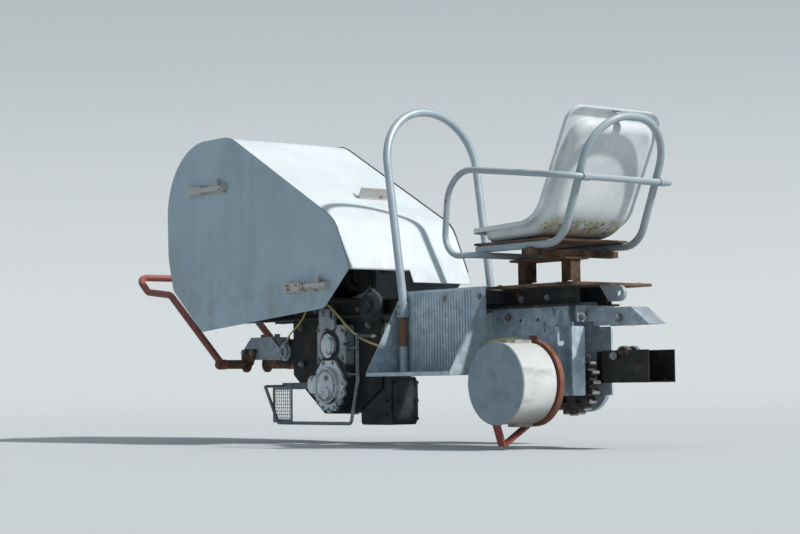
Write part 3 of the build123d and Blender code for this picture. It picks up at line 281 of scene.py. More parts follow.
def end_finish(material, relief, depth, colour, roughness, **others):
    """Give the shader its values; others are named like its sockets, with _ for a space."""
    tree = material.node_tree
    shader = tree.nodes["Principled BSDF"]
    bump = relief.node("ShaderNodeBump", {}, {"Height": relief, "Distance": depth, "Strength": 1.0})
    for name, value in {"Base_Color": colour, "Roughness": roughness, "Normal": bump, **others}.items():
        socket = shader.inputs[name.replace("_", " ")]
        if isinstance(value, Wire):
            tree.links.new(value.socket, socket)
        else:
            socket.default_value = value
    return material


# %% [markdown]
# ## Colours and places that come back
#
# The unit has stood outdoors for years. The same few colours come back on many pieces, so they are named
# once: zinc, dust, rust in two ages, and grease. So are the axles and the oval cover's middle, as (x, z).

# %% Colours and places
RUST = (0.17, 0.066, 0.032)
FRESH_RUST = (0.36, 0.15, 0.06)
DUST = (0.42, 0.39, 0.34)
GREASE = (0.018, 0.018, 0.02)
ZINC = (0.42, 0.48, 0.53)
ZINC_DULL = (0.27, 0.32, 0.37)
DRIVE_AXLE = (-0.570, -0.140)
BRAKE_AXLE = (0.558, -0.140)
OVAL_MIDDLE = (-0.574, 0.0)


def axle_distance(place, x, z, flat=1.0):
    """Distance from an axis along Y; flat widens it across, for an oval."""
    across = (place.part(0) - x) * flat
    height = place.part(2) - z
    return (across * across + height * height).root()


def rust_patches(place, scale, share, soft=0.03):
    """Mask of rust: a share of the surface in patches, broken up by a finer noise."""
    patches = place.noise(scale, 5.0) * 0.7 + place.noise(scale * 6, 3.0) * 0.3
    edge = 0.72 - 0.44 * share
    return patches.step(edge - soft, edge + soft)


# %% [markdown]
# The hood is bent sheet with a pale blue-grey coat that has gone chalky. Rain leaves faint upright streaks,
# and dirt gathers below. The streaks are a noise that is stretched along Z.


# %% Hood paint
def hood_finish(name):
    material, place, facing = start_finish(name)
    streaks = place.noise(16, 3.0, stretch=(1, 1, 0.07))
    clouds = place.noise(4, 5.0)
    upright = 1 - abs(facing.part(2)).step(0.2, 0.7)
    sideways = abs(facing.part(1)).step(0.6, 0.9)
    coat = clouds.step(0.35, 0.65).blend((0.61, 0.67, 0.70), (0.69, 0.74, 0.765))
    # The side panels get a darker, bluer copy of the coat: painted shade.
    painted_shade_panel = clouds.step(0.35, 0.65).blend((0.33, 0.43, 0.49), (0.38, 0.485, 0.545))
    coat = sideways.blend(coat, painted_shade_panel)
    coat = (streaks.step(0.52, 0.70) * upright * 0.22).blend(coat, (0.20, 0.28, 0.33))
    dull = place.noise(3.2, 4.0, stretch=(1, 1, 0.6)).step(0.48, 0.66) * upright * 0.35
    coat = dull.blend(coat, (0.30, 0.31, 0.30))
    grime = place.part(2).step(0.34, 0.10) * place.noise(9, 4.0).step(0.42, 0.62) * 0.4
    coat = grime.blend(coat, (0.20, 0.23, 0.24))
    # The panels' rims are painted near black: a painted shade line along their edges.
    hood_side = 0.2600
    painted_shade_rim = (abs(place.part(1)) - hood_side).step(0.0, 0.001) * (1 - sideways)
    coat = painted_shade_rim.blend(coat, (0.020, 0.024, 0.028))
    specks = rust_patches(place, 34, 0.06, 0.01) * 0.45
    coat = specks.blend(coat, (0.24, 0.18, 0.14))
    relief = clouds * 0.6 + place.noise(220, 2.0) * 0.05
    return end_finish(material, relief, 0.0012, coat, 0.40 + 0.2 * streaks, Coat_Weight=0.10)


# %% [markdown]
# Zinc on the footrests, plates and tubes has grown dull: cloudy greys in grains, with white bloom and a
# little rust where it has worn through.


# %% Zinc coat, in a paler and a darker age
def zinc_finish(name, light, dark, rust_share):
    material, place, facing = start_finish(name)
    grains = place.cells(45, "Color").part(0)
    clouds = place.noise(7, 5.0)
    mix = (clouds * 0.7 + grains * 0.3).step(0.3, 0.75)
    coat = mix.blend(dark, light)
    bloom = place.noise(26, 6.0).step(0.62, 0.76) * 0.35
    coat = bloom.blend(coat, (0.56, 0.61, 0.64))
    top_dust = facing.part(2).step(0.5, 0.95) * place.noise(18, 4.0).step(0.35, 0.7) * 0.35
    coat = top_dust.blend(coat, DUST)
    rust = rust_patches(place, 9, rust_share)
    coat = rust.blend(coat, place.noise(60, 3.0).blend(RUST, FRESH_RUST))
    relief = place.noise(90, 4.0) * 0.5 + rust * 0.5
    metal = 0.35 * (1 - rust.highest(bloom))
    return end_finish(material, relief, 0.0008, coat, 0.48 + 0.3 * rust + 0.12 * clouds, Metallic=metal)


# %% [markdown]
# The frame, the plates and the cases under the hood are old dark paint under oil, dust and rust.


# %% Dark oily steel
def dark_finish(name, coat, rust_share, dust_share):
    material, place, facing = start_finish(name)
    clouds = place.noise(11, 5.0)
    colour = clouds.step(0.3, 0.7).blend(tuple(0.6 * value for value in coat), coat)
    rust = rust_patches(place, 12, rust_share)
    colour = rust.blend(colour, place.noise(50, 3.0).blend(RUST, (0.27, 0.115, 0.05)))
    dust = place.noise(14, 6.0).step(0.45, 0.78) * dust_share
    dust = dust + facing.part(2).step(0.5, 0.95) * 0.25
    colour = dust.lowest(0.8).blend(colour, (0.22, 0.20, 0.18))
    relief = place.noise(120, 4.0) * 0.6 + rust * 0.4
    roughness = 0.45 + 0.35 * dust.highest(rust) + 0.1 * clouds
    return end_finish(material, relief, 0.0008, colour, roughness, Specular_IOR_Level=0.22)


# %% Cast alloy of the gear case and its covers
def alloy_finish(name, light, dark, oil_share, metal=0.25, roughness=0.52, darker=None):
    """Sand-cast metal under oil; the last argument gives a mask of where it is darker, with more oil and with
    painted shade.
    """
    material, place, facing = start_finish(name)
    sand = place.noise(260, 3.0) * 0.5
    clouds = place.noise(16, 5.0)
    colour = clouds.step(0.3, 0.7).blend(dark, light)
    oil_and_shade = (place.noise(24, 5.0) - 0.2 * facing.part(2)).step(0.56, 0.70) * oil_share
    if darker:
        oil_and_shade = oil_and_shade.highest(darker(place))
    colour = oil_and_shade.blend(colour, GREASE)
    metal = metal * (1 - oil_and_shade)
    roughness = roughness + 0.10 * oil_and_shade
    return end_finish(material, sand, 0.0006, colour, roughness, Metallic=metal, Specular_IOR_Level=0.25)


def shade_and_oil_round_covers(place):
    """Dark all round the two covers, as painted shade in the crevices as well as oil that creeps out; the
    case is also darker below them.
    """
    ragged = place.noise(38, 5.0) * 0.022
    round_cover = (axle_distance(place, *DRIVE_AXLE) + ragged).step(0.128, 0.116)
    oval_cover = (axle_distance(place, *OVAL_MIDDLE, 1.1) + ragged).step(0.079, 0.069)
    below = place.part(2).step(-0.055, -0.120)
    return round_cover.highest(oval_cover).highest(below) * 0.93


def shade_and_oil_on_covers(place):
    """Dark in the joint behind the covers and in the groove round the hub, as painted shade as well as oil,
    and in smears on the lower half.
    """
    joint = place.part(1).step(-0.1085, -0.1068)
    hub = axle_distance(place, *DRIVE_AXLE).between(0.047, 0.058, 0.003)
    smears = place.noise(30, 6.0).step(0.44, 0.62)
    low = place.part(2).step(-0.120, -0.200) * 0.35
    return (joint.highest(hub * 0.8) * (0.55 + 0.45 * smears)).highest(low * smears)


# %% Paint that chips down to rust
def chipped_finish(name, coat, faded, rust_share, roughness=0.5):
    material, place, facing = start_finish(name)
    clouds = place.noise(10, 5.0)
    sun_faded = facing.part(2).step(-0.2, 0.9) * 0.6 + clouds * 0.4
    colour = sun_faded.step(0.1, 0.9).blend(coat, faded)
    rust = rust_patches(place, 22, rust_share, 0.02)
    halo = rust_patches(place, 22, rust_share + 0.08, 0.04) * 0.45
    colour = halo.blend(colour, FRESH_RUST)
    colour = rust.blend(colour, RUST)
    relief = (1 - rust) * 0.6 + place.noise(150, 3.0) * 0.3
    return end_finish(material, relief, 0.0006, colour, roughness + 0.3 * rust)


# %% Bare rust
def rust_finish(name, dark, light):
    material, place, facing = start_finish(name)
    crust = place.noise(14, 6.0)
    colour = crust.step(0.35, 0.68).blend(dark, light)
    flakes = place.cells(160).step(0.1, 0.5)
    dust = facing.part(2).step(0.5, 0.95) * place.noise(30, 4.0).step(0.4, 0.7) * 0.2
    colour = dust.blend(colour, DUST)
    relief = crust * 0.4 + flakes * 0.25 + place.noise(200, 4.0) * 0.3
    return end_finish(material, relief, 0.001, colour, 0.85, Specular_IOR_Level=0.25)


# %% [markdown]
# The seat shell is pale moulded plastic. It is chalky and clean on top, with green and brown growth where
# water stands: along the foot of the back's bulge.


# %% Chalky plastic of the seat
def seat_finish(name):
    material, place, facing = start_finish(name)
    clouds = place.noise(8, 5.0)
    colour = clouds.step(0.3, 0.7).blend((0.56, 0.60, 0.62), (0.72, 0.745, 0.75))
    outside = facing.part(0).step(0.05, 0.30) * place.part(0).step(0.54, 0.62)
    foot = place.part(2).between(0.318, 0.360, 0.016) * outside
    growth = foot * place.noise(20, 6.0).step(0.34, 0.52)
    colour = (growth * 0.8).blend(colour, (0.40, 0.35, 0.18))
    dots = foot * place.noise(75, 4.0).step(0.55, 0.62)
    colour = dots.blend(colour, (0.07, 0.055, 0.035))
    darkening = place.noise(12, 6.0, stretch=(1, 1, 0.4)).step(0.58, 0.78) * 0.3
    colour = darkening.blend(colour, (0.34, 0.35, 0.33))
    relief = place.noise(180, 3.0) * 0.35 + clouds * 0.2
    return end_finish(material, relief, 0.0005, colour, 0.46 + 0.15 * clouds + 0.25 * growth)


# %% [markdown]
# The brake drum has a dark front disc, a cream coat round its side, and rust where the two meet. The grab
# hoop's grey paint is burnt off down to rust under its sleeves.


# %% Brake drum
def drum_finish(name):
    material, place, _ = start_finish(name)
    clouds = place.noise(9, 5.0)
    disc = clouds.step(0.3, 0.7).blend((0.185, 0.245, 0.29), (0.25, 0.32, 0.365))
    smears = place.noise(22, 6.0).step(0.50, 0.66) * 0.35
    disc = smears.blend(disc, (0.13, 0.15, 0.165))
    side_coat = clouds.step(0.3, 0.7).blend((0.53, 0.54, 0.535), (0.68, 0.685, 0.67))
    # The side's coat is darker in smudges and towards the bottom.
    low = place.part(2).step(-0.195, -0.262)
    darkening = (place.noise(15, 6.0, stretch=(1, 0.3, 1)).step(0.50, 0.70) * 0.6).highest(low * 0.85)
    side_coat = darkening.blend(side_coat, (0.20, 0.185, 0.165))
    front = place.part(1).step(-0.3225, -0.3235)
    colour = front.blend(side_coat, disc)
    hub = place.part(1).step(-0.1915, -0.1890)
    colour = hub.blend(colour, (0.06, 0.06, 0.06))
    rust = rust_patches(place, 16, 0.10)
    edge = place.part(1).between(-0.326, -0.322, 0.003) * place.noise(24, 4.0).step(0.50, 0.60)
    rust = rust.highest(edge * 0.8)
    colour = rust.blend(colour, place.noise(60, 3.0).blend(RUST, FRESH_RUST))
    relief = place.noise(120, 3.0) * 0.4 + rust * 0.3
    return end_finish(material, relief, 0.0006, colour, 0.50 + 0.3 * rust)


# %% Grab hoop
def hoop_finish(name):
    material, place, _ = start_finish(name)
    clouds = place.noise(10, 5.0)
    colour = clouds.step(0.25, 0.75).blend((0.34, 0.41, 0.46), (0.46, 0.52, 0.56))
    band = (place.part(2) + 0.02 * clouds).between(-0.006, 0.092, 0.004)
    rust = (band * place.noise(18, 5.0).step(0.34, 0.44)).highest(rust_patches(place, 24, 0.08, 0.02))
    colour = rust.blend(colour, place.noise(45, 4.0).blend((0.10, 0.045, 0.028), (0.24, 0.125, 0.07)))
    relief = (1 - rust) * 0.5 + place.noise(150, 3.0) * 0.3
    return end_finish(material, relief, 0.0006, colour, 0.42 + 0.35 * rust, Metallic=0.25 * (1 - rust))


# %% [markdown]
# Rollers and pinions are dark except where they run: the treads and the teeth's tips are rubbed bright.
# The distance from the wheel's own axis tells where that is, so each wheel has its own copy of the finish.


# %% Steel with a bright tread
def wheel_finish(name, x, z, tread_radius):
    material, place, _ = start_finish(name)
    worn = axle_distance(place, x, z).step(tread_radius - 0.006, tread_radius - 0.001)
    worn = worn * (0.75 + 0.25 * place.noise(40, 4.0))
    darker = place.noise(20, 5.0).step(0.35, 0.7).blend((0.035, 0.033, 0.032), (0.11, 0.095, 0.08))
    colour = worn.blend(darker, (0.50, 0.49, 0.47))
    relief = place.noise(140, 4.0) * (1 - worn)
    return end_finish(material, relief, 0.0006, colour, 0.55 - 0.25 * worn, Metallic=0.3 + 0.7 * worn)


# %% Give the frame's nodes their first finishes
recipes = {
    "hood_paint": (hood_finish,),
    "galvanised": (zinc_finish, ZINC, ZINC_DULL, 0.20),
    "footrest": (zinc_finish, (0.52, 0.60, 0.66), (0.35, 0.425, 0.48), 0.06),
    # The rear plates' zinc is paler than the rest: painted light that makes up for the shade under the deck.
    "plate_zinc_painted_light": (zinc_finish, (0.60, 0.69, 0.76), (0.40, 0.48, 0.55), 0.12),
    # The frame's near-black coat is partly painted shade, for the shaded recess under the deck, and partly
    # old dark paint.
    "frame_steel": (dark_finish, (0.040, 0.043, 0.047), 0.30, 0.24),
    "dark_steel": (dark_finish, (0.018, 0.019, 0.021), 0.20, 0.17),
    "case_grey": (alloy_finish, (0.29, 0.33, 0.36), (0.20, 0.235, 0.26), 0.8),
    "cast_alloy": (alloy_finish, (0.72, 0.73, 0.74), (0.52, 0.54, 0.57), 0.8, 0.4, 0.45),
    "cover_alloy": (alloy_finish, (0.74, 0.77, 0.80), (0.50, 0.54, 0.58), 0.9, 0.4, 0.42, shade_and_oil_on_covers),
    "gear_case": (alloy_finish, (0.46, 0.50, 0.53), (0.30, 0.34, 0.37), 0.9, 0.2, 0.50, shade_and_oil_round_covers),
    "gearbox": (dark_finish, (0.034, 0.043, 0.050), 0.18, 0.18),
    "guard_zinc": (zinc_finish, (0.235, 0.275, 0.30), (0.135, 0.16, 0.18), 0.24),
    "latch_zinc": (chipped_finish, (0.42, 0.42, 0.41), (0.60, 0.60, 0.59), 0.24),
    "tank_paint": (chipped_finish, (0.20, 0.05, 0.035), (0.30, 0.09, 0.06), 0.15, 0.35),
    "bolt_zinc": (zinc_finish, (0.34, 0.36, 0.38), (0.16, 0.17, 0.18), 0.30),
    "red_paint": (chipped_finish, (0.20, 0.038, 0.030), (0.32, 0.095, 0.070), 0.22),
    "tube_paint": (chipped_finish, (0.30, 0.355, 0.39), (0.42, 0.47, 0.505), 0.10, 0.40),
    "ring_rust": (chipped_finish, (0.17, 0.055, 0.040), (0.24, 0.085, 0.060), 0.40, 0.65),
    "hoop_paint": (hoop_finish,),
    "drum_paint": (drum_finish,),
    "rusty_steel": (rust_finish, (0.055, 0.032, 0.023), (0.19, 0.115, 0.078)),
    "seat_plastic": (seat_finish,),
    "lug_steel": (chipped_finish, (0.33, 0.35, 0.36), (0.44, 0.45, 0.45), 0.18),
    "cable_sheath": (chipped_finish, (0.56, 0.44, 0.14), (0.68, 0.58, 0.28), 0.02, 0.45),
}
finishes = {name: maker(name, *values) for name, (maker, *values) in recipes.items()}
own_finishes = {
    "grab_hoop": "hoop_paint",
    "brake_drum": "drum_paint",
    "drum_ring": "ring_rust",
    "gear_case": "gear_case",
    "gear_cover": "cover_alloy",
    "oval_cover": "cover_alloy",
    "transmission_case": "gearbox",
    "clutch_housing": "gearbox",
    "drive_guard": "guard_zinc",
    "hood_lugs": "latch_zinc",
    "rear_plate_near": "plate_zinc_painted_light",
    "rear_plate_far": "plate_zinc_painted_light",
    "footrest_near": "footrest",
    "footrest_far": "footrest",
}
# Each wheel's axle (x and z), the radius where it is worn, and how far from the middle its nuts sit.
wheels = {
    "front_roller_top": (-0.800, 0.0703, 0.040, 0.065),
    "middle_roller_top": (-0.400, 0.0703, 0.040, 0.065),
    "rear_roller_top": (0.330, 0.0703, 0.040, 0.065),
    "tail_roller_top": (0.800, 0.0543, 0.024, 0.044),
    "front_roller_low": (-0.790, -0.0603, 0.030, 0.071),
    "tail_roller_low": (0.800, -0.0603, 0.030, 0.065),
    "drive_pinion": (*DRIVE_AXLE, 0.104, 0.085),
    "brake_pinion": (*BRAKE_AXLE, 0.104, 0.085),
}
node_slots = {row["node"]: row["material_slot"] for row in frame["record"]["subparts"]}
for name, node in nodes.items():
    if name in wheels:
        finish = wheel_finish(name + "_steel", *wheels[name][:3])
    else:
        finish = finishes[own_finishes.get(name, node_slots[name])]
    node.data.materials.clear()
    node.data.materials.append(finish)
print(len(nodes), "nodes have a finish")

# %% [markdown]
# ## Cables
#
# A cable, and each weld bead further down, is a curve with a round section. The yellow control cable leaves a
# block on the engine, runs along the near footrest's inner wall under two clips, and ends at the drum's ring.
# It is a smooth spline through the same route as the CAD tube. A thinner cable comes down through the
# engine's base and ends in a clamp on the front guide.


# %% Curves with a round section
def start_curve(name, radius, roundness):
    """Empty curve with a round section, and its object."""
    curve = bpy.data.curves.new(name, "CURVE")
    curve.dimensions = "3D"
    curve.bevel_depth = radius
    curve.bevel_resolution = roundness
    curve.use_fill_caps = True
    piece = bpy.data.objects.new(name, curve)
    bpy.context.scene.collection.objects.link(piece)
    return piece


def add_spline(piece, kind, route):
    """Spline through the points of a route."""
    spline = piece.data.splines.new(kind)
    spline.points.add(len(route) - 1)
    for point, place in zip(spline.points, route):
        point.co = (*place, 1.0)
    return spline


def lay_cable(name, route, radius):
    """Round cable along a smooth spline with the route's points, riding on the chassis."""
    cable = start_curve(name, radius, 4)
    spline = add_spline(cable, "NURBS", route)
    spline.order_u = 3
    spline.use_endpoint_u = True
    spline.resolution_u = 12
    cable.data.materials.append(finishes["cable_sheath"])
    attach(cable, "chassis")
    return cable


# %% Control cable
clip_y = -0.1737
cable_route = [
    (-0.5917, -0.123, 0.150),
    (-0.562, -0.123, 0.150),
    (-0.505, -0.122, 0.108),
    (-0.450, -0.121, 0.064),
    (-0.395, -0.119, 0.030),
    (-0.335, -0.119, 0.008),
    (-0.270, -0.122, -0.007),
    (-0.190, -0.135, -0.016),
    (-0.105, -0.155, -0.022),
    (-0.020, clip_y, -0.025),
    (0.090, clip_y, -0.026),
    (0.200, clip_y, -0.023),
    (0.300, clip_y, -0.014),
    (0.390, -0.173, -0.004),
    (0.470, -0.174, -0.001),
    (0.5527, -0.175, -0.0027),
]
brake_cable = lay_cable("yellow_cable", cable_route, 0.004)
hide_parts("control_cable")

# %% Stop cable
stop_route = [
    (-0.700, -0.112, 0.157),
    (-0.701, -0.112, 0.132),
    (-0.728, -0.111, 0.100),
    (-0.770, -0.109, 0.072),
    (-0.812, -0.105, 0.050),
    (-0.846, -0.094, 0.034),
    (-0.868, -0.083, 0.022),
]
stop_cable = lay_cable("stop_cable", stop_route, 0.003)

# %% [markdown]
# ## How new pieces are made
#
# Each piece is modelled with operators and then settled: its place goes into its mesh, it gets a finish and a
# material slot, and it rides on a body. Faces are picked by the way they look.

# %% Ways to look
UP = (0, 0, 1)
BACK = (1, 0, 0)
FAR = (0, 1, 0)
NEAR = (0, -1, 0)


# %% Edits
def pick_faces(piece, *ways):
    """Enter edit mode with only those faces selected that look one of the ways."""
    start_picking(piece, "FACE")
    for face in piece.data.polygons:
        face.select = any(face.normal.dot(Vector(way)) > 0.99 for way in ways)
    bpy.ops.object.mode_set(mode="EDIT")


def push_faces(piece, way, *steps):
    """Inset and move the faces that look this way; a step is (inset, rise), and a rise may be negative."""
    pick_faces(piece, way)
    for inset, rise in steps:
        bpy.ops.mesh.inset(thickness=inset)
        move = tuple(rise * part for part in way)
        bpy.ops.mesh.extrude_region_move(TRANSFORM_OT_translate={"value": move})
    end_edit()


def round_edges(piece, width, segments=1):
    """Bevel a piece's sharp edges."""
    start_picking(piece, "EDGE")
    bpy.ops.object.mode_set(mode="EDIT")
    bpy.ops.mesh.edges_select_sharp(sharpness=radians(30))
    bpy.ops.mesh.bevel(offset=width, segments=segments, affect="EDGES")
    end_edit()
    return piece


# %% Starting shapes
def end_start(edge=0, segments=1):
    """Put the new primitive's place into its mesh, and round its edges if a width is given."""
    bpy.ops.object.transform_apply(location=True, rotation=True, scale=True)
    piece = bpy.context.object
    return round_edges(piece, edge, segments) if edge else piece


def start_box(low, high, edge=0, segments=1):
    """Box between two corners."""
    deselect_all()
    bpy.ops.mesh.primitive_cube_add(size=1, location=[(a + b) / 2 for a, b in zip(low, high)])
    bpy.context.object.scale = [b - a for a, b in zip(low, high)]
    return end_start(edge, segments)


def start_rod(radius, start, end, sides, tip_radius=None, edge=0, segments=1):
    """Round rod between two points, or a cone with a tip radius."""
    deselect_all()
    run = Vector(end) - Vector(start)
    bpy.ops.mesh.primitive_cone_add(
        vertices=sides,
        radius1=radius,
        radius2=radius if tip_radius is None else tip_radius,
        depth=run.length,
        location=(Vector(start) + Vector(end)) / 2,
        rotation=run.to_track_quat("Z", "Y").to_euler(),
    )
    return end_start(edge, segments)


def start_ring(radius, wire, place, way, sides):
    """Ring round a direction."""
    deselect_all()
    bpy.ops.mesh.primitive_torus_add(
        major_segments=sides,
        minor_segments=8,
        major_radius=radius,
        minor_radius=wire,
        location=place,
        rotation=Vector(way).to_track_quat("Z", "Y").to_euler(),
    )
    return end_start()


# %% Copies, and the end of each piece
def select_only(pieces):
    """Select these pieces alone, with the first as the active one."""
    deselect_all()
    for piece in pieces:
        piece.select_set(True)
    bpy.context.view_layer.objects.active = pieces[0]


def join(pieces):
    """Join pieces into the first of them."""
    select_only(pieces)
    if len(pieces) > 1:
        bpy.ops.object.join()
    return pieces[0]


def copies_at(model, turns):
    """A copy of a model, with its own mesh, for each matrix that turns and places it."""
    copies = []
    for turn in turns:
        copy = bpy.data.objects.new(model.name, model.data.copy())
        bpy.context.scene.collection.objects.link(copy)
        copy.data.transform(turn)
        copies.append(copy)
    return copies


def settle(piece, name, slot, finish=None, body="chassis"):
    """Name a piece, put its place into its mesh, give it a finish, and let it ride on a body."""
    select_only([piece])
    bpy.ops.object.transform_apply(location=True, rotation=True, scale=True)
    bpy.ops.object.mode_set(mode="EDIT")
    bpy.ops.mesh.select_all(action="SELECT")
    bpy.ops.mesh.normals_make_consistent(inside=False)
    end_edit()
    bpy.ops.object.shade_smooth_by_angle(angle=radians(35))
    piece.name = name
    piece.data.name = name
    piece.data.materials.clear()
    piece.data.materials.append(finishes[finish or slot])
    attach(piece, body)
    return piece


def bead(name, runs, radius, slot, finish=None, body="chassis"):
    """Round bead along runs of points; a run whose ends are equal is a closed loop."""
    piece = start_curve(name, radius, 2)
    for run in runs:
        closed = run[0] == run[-1]
        line = add_spline(piece, "POLY", run[:-1] if closed else run)
        line.use_cyclic_u = closed
    select_only([piece])
    bpy.ops.object.convert(target="MESH")
    return settle(bpy.context.object, name, slot, finish, body)


# %% [markdown]
# ## Fasteners
#
# Three models are enough: a washer with a hexagonal head, a washer with a nut and the end of its bolt, and a
# domed rivet. All point along +Z from the origin and have a radius of 1, so that a size is a scale. Their
# copies turn to the faces that they stand on.


# %% Fastener models
def hexagon_model(with_end):
    """Washer with a hexagonal head, or with a nut and the end of its bolt."""
    washer = start_rod(1.25, (0, 0, 0), (0, 0, 0.2), 20, edge=0.05)
    head = start_rod(1.0, (0, 0, 0.2), (0, 0, 0.9), 6)
    pick_faces(head, UP)
    bpy.ops.mesh.bevel(offset=0.10, segments=1, affect="EDGES")
    end_edit()
    shapes = [washer, head]
    if with_end:
        shapes.append(start_rod(0.55, (0, 0, 0.5), (0, 0, 1.25), 14, edge=0.07))
    return join(shapes)


head_model = hexagon_model(with_end=False)
nut_model = hexagon_model(with_end=True)
dome_model = start_rod(1.0, (0, 0, 0), (0, 0, 0.25), 14)
pick_faces(dome_model, UP)
for inset, rise in ((0.22, 0.22), (0.30, 0.12)):
    bpy.ops.mesh.inset(thickness=inset, depth=rise)
end_edit()


def fasten(name, model, radius, places, slot="galvanised", finish="bolt_zinc", body="chassis"):
    """Copies of a fastener at places, each with the way it points, joined into one piece."""
    turns = []
    for number, (place, way) in enumerate(places):
        spin = Matrix.Rotation(0.7 * number, 4, "Z")
        turned = Vector(way).to_track_quat("Z", "Y").to_matrix().to_4x4()
        turns.append(Matrix.Translation(place) @ turned @ Matrix.Scale(radius, 4) @ spin)
    return settle(join(copies_at(model, turns)), name, slot, finish, body)


def both_sides(points, depth):
    """Places for (x, z) points on both side faces at this distance from the middle, pointing outwards."""
    return [((x, side * depth, z), (0, side, 0)) for x, z in points for side in (-1, 1)]


def near_face(points, depth):
    """Places for (x, z) points on a face that looks to the near side."""
    return [((x, depth, z), NEAR) for x, z in points]


def paired(stations, half, level):
    """Places on level faces, pointing up: two at each x, this far from the middle."""
    return [((x, side * half, level), UP) for x in stations for side in (-1, 1)]


def on_circle(middle, radius, count, first=0.0, step=None):
    """Points on a circle, from a first angle in degrees on, all the way round or by a step."""
    angles = [radians(first + (step or 360 / count) * number) for number in range(count)]
    return [(middle[0] + radius * cos(angle), middle[1] + radius * sin(angle)) for angle in angles]


# %% Fasteners of the chassis
beam_bolts = both_sides([(x, 0.127) for x in (-0.820, -0.700, -0.450, 0.280, 0.400, 0.520)], 0.071)
fasten("beam_bolts", head_model, 0.009, beam_bolts)
fasten("bracket_bolts", head_model, 0.009, both_sides([(-1.190, -0.012), (-1.136, -0.012)], 0.053))
fasten("hinge_nuts", nut_model, 0.010, both_sides([(-1.328, 0.240)], 0.214))
tray_bolts = both_sides([(-0.066, 0.137), (0.322, 0.137)], 0.181) + both_sides([(0.151, 0.137)], 0.1835)
fasten("tray_bolts", head_model, 0.008, tray_bolts)
sleeve_bolts = [((-0.045, side * 0.2165, z), (0, side, 0)) for side in (-1, 1) for z in (0.096, 0.120)]
fasten("sleeve_bolts", head_model, 0.006, sleeve_bolts)
fasten("deck_screws", dome_model, 0.009, paired((0.385, 0.545, 0.705), 0.150, 0.165), finish="lug_steel")
fasten("post_bolts", head_model, 0.0065, paired((0.379, 0.524, 0.582), 0.029, 0.171), finish="lug_steel")
fasten("cross_bolts", nut_model, 0.009, [((0.662, side * 0.064, 0.062), BACK) for side in (-1, 1)])
fasten("drum_screws", head_model, 0.005, [((x, -0.229, -0.007), UP) for x in (0.548, 0.568)])

# %% Fasteners of the gear case and its covers
case_y = -0.105
cover_y = -0.117
cover_points = on_circle(DRIVE_AXLE, 0.084, 9, 175, 23.75) + [(-0.598, -0.061), (-0.542, -0.061)]
fasten("cover_bolts", head_model, 0.0062, near_face(cover_points, cover_y), "cast_alloy", "galvanised")
oval_points = [(OVAL_MIDDLE[0] + x, OVAL_MIDDLE[1] + z) for x in (-0.0235, 0.0235) for z in (-0.0265, 0.0265)]
fasten("oval_screws", head_model, 0.0042, near_face(oval_points, cover_y), "cast_alloy", "galvanised")
case_points = [(-0.640, 0.058), (-0.500, 0.052), (-0.640, -0.045), (-0.500, -0.045)]
fasten("case_bolts", head_model, 0.0065, near_face(case_points, case_y))

# %% Nuts on the axles, which turn with their wheels
for name, (x, z, _, reach) in wheels.items():
    if name.endswith("pinion"):
        fasten(name + "_nut", nut_model, 0.019, [((x, reach, z), FAR)], body=name + "_wheel")
    else:
        fasten(name + "_nuts", nut_model, 0.0105, both_sides([(x, z)], reach), body=name + "_wheel")

# %% Rivets of the hood's latches and of its lifting handle
latches = ((-1.104, 0.590), (-0.485, 0.203))
latch_points = [(x + a, z + b) for x, z in latches for a in (0.113, -0.012) for b in (0.0155, -0.0155)]
fasten("latch_rivets", dome_model, 0.0035, both_sides(latch_points, 0.269), "lug_steel", body="hood")

# %% [markdown]
# ## Welds and seals
#
# Weld beads lie where plates and tubes meet. A dark sealing bead lies where the hood's side panels stand
# proud of the bent sheet. Its corners have the same radii as the panel's, and lie a little way in.


# %% Weld beads
def circle_run(middle, radius):
    """Closed level circle of points."""
    points = [(x, y, middle[2]) for x, y in on_circle(middle, radius, 24)]
    return points + points[:1]


def square_run(x, half, z):
    """Closed level square of points round the X axis."""
    return [(x + half * a, half * b, z) for a, b in ((-1, -1), (1, -1), (1, 1), (-1, 1), (-1, -1))]


zinc_welds = [circle_run((-0.045, side * 0.197, -0.109), 0.0145) for side in (-1, 1)]
for side in (-1, 1):
    for x in (-0.0725, 0.3465):
        zinc_welds.append([(x, side * 0.1815, -0.108), (x, side * 0.1815, 0.136)])
    zinc_welds.append([(0.572, side * 0.0655, 0.035), (0.572, side * 0.0655, 0.084)])
    zinc_welds.append([(0.690, side * 0.0065, 0.157), (0.744, side * 0.0065, 0.157)])
zinc_welds.append([(0.598, -0.0655, -0.178), (0.598, -0.0655, 0.031)])
bead("zinc_welds", zinc_welds, 0.0024, "galvanised")
rust_welds = [square_run(x, 0.021, z) for z in (0.171, 0.2465) for x in (0.350, 0.553)]
bead("post_welds", rust_welds, 0.0022, "rusty_steel")


# %% Sealing bead of the hood
def rounded_outline(corners, steps=8):
    """Points of an outline whose corners, each (x, z, radius), are rounded."""
    points = []
    for number, (x, z, radius) in enumerate(corners):
        here = Vector((x, z))
        before = (Vector(corners[number - 1][:2]) - here).normalized()
        after = (Vector(corners[(number + 1) % len(corners)][:2]) - here).normalized()
        half = before.angle(after) / 2
        centre = here + (before + after).normalized() * (radius / sin(half))
        start = here + before * (radius / tan(half)) - centre
        end = here + after * (radius / tan(half)) - centre
        sweep = start.angle_signed(end)
        for step in range(steps + 1):
            points.append(centre + Matrix.Rotation(-sweep * step / steps, 2) @ start)
    return points


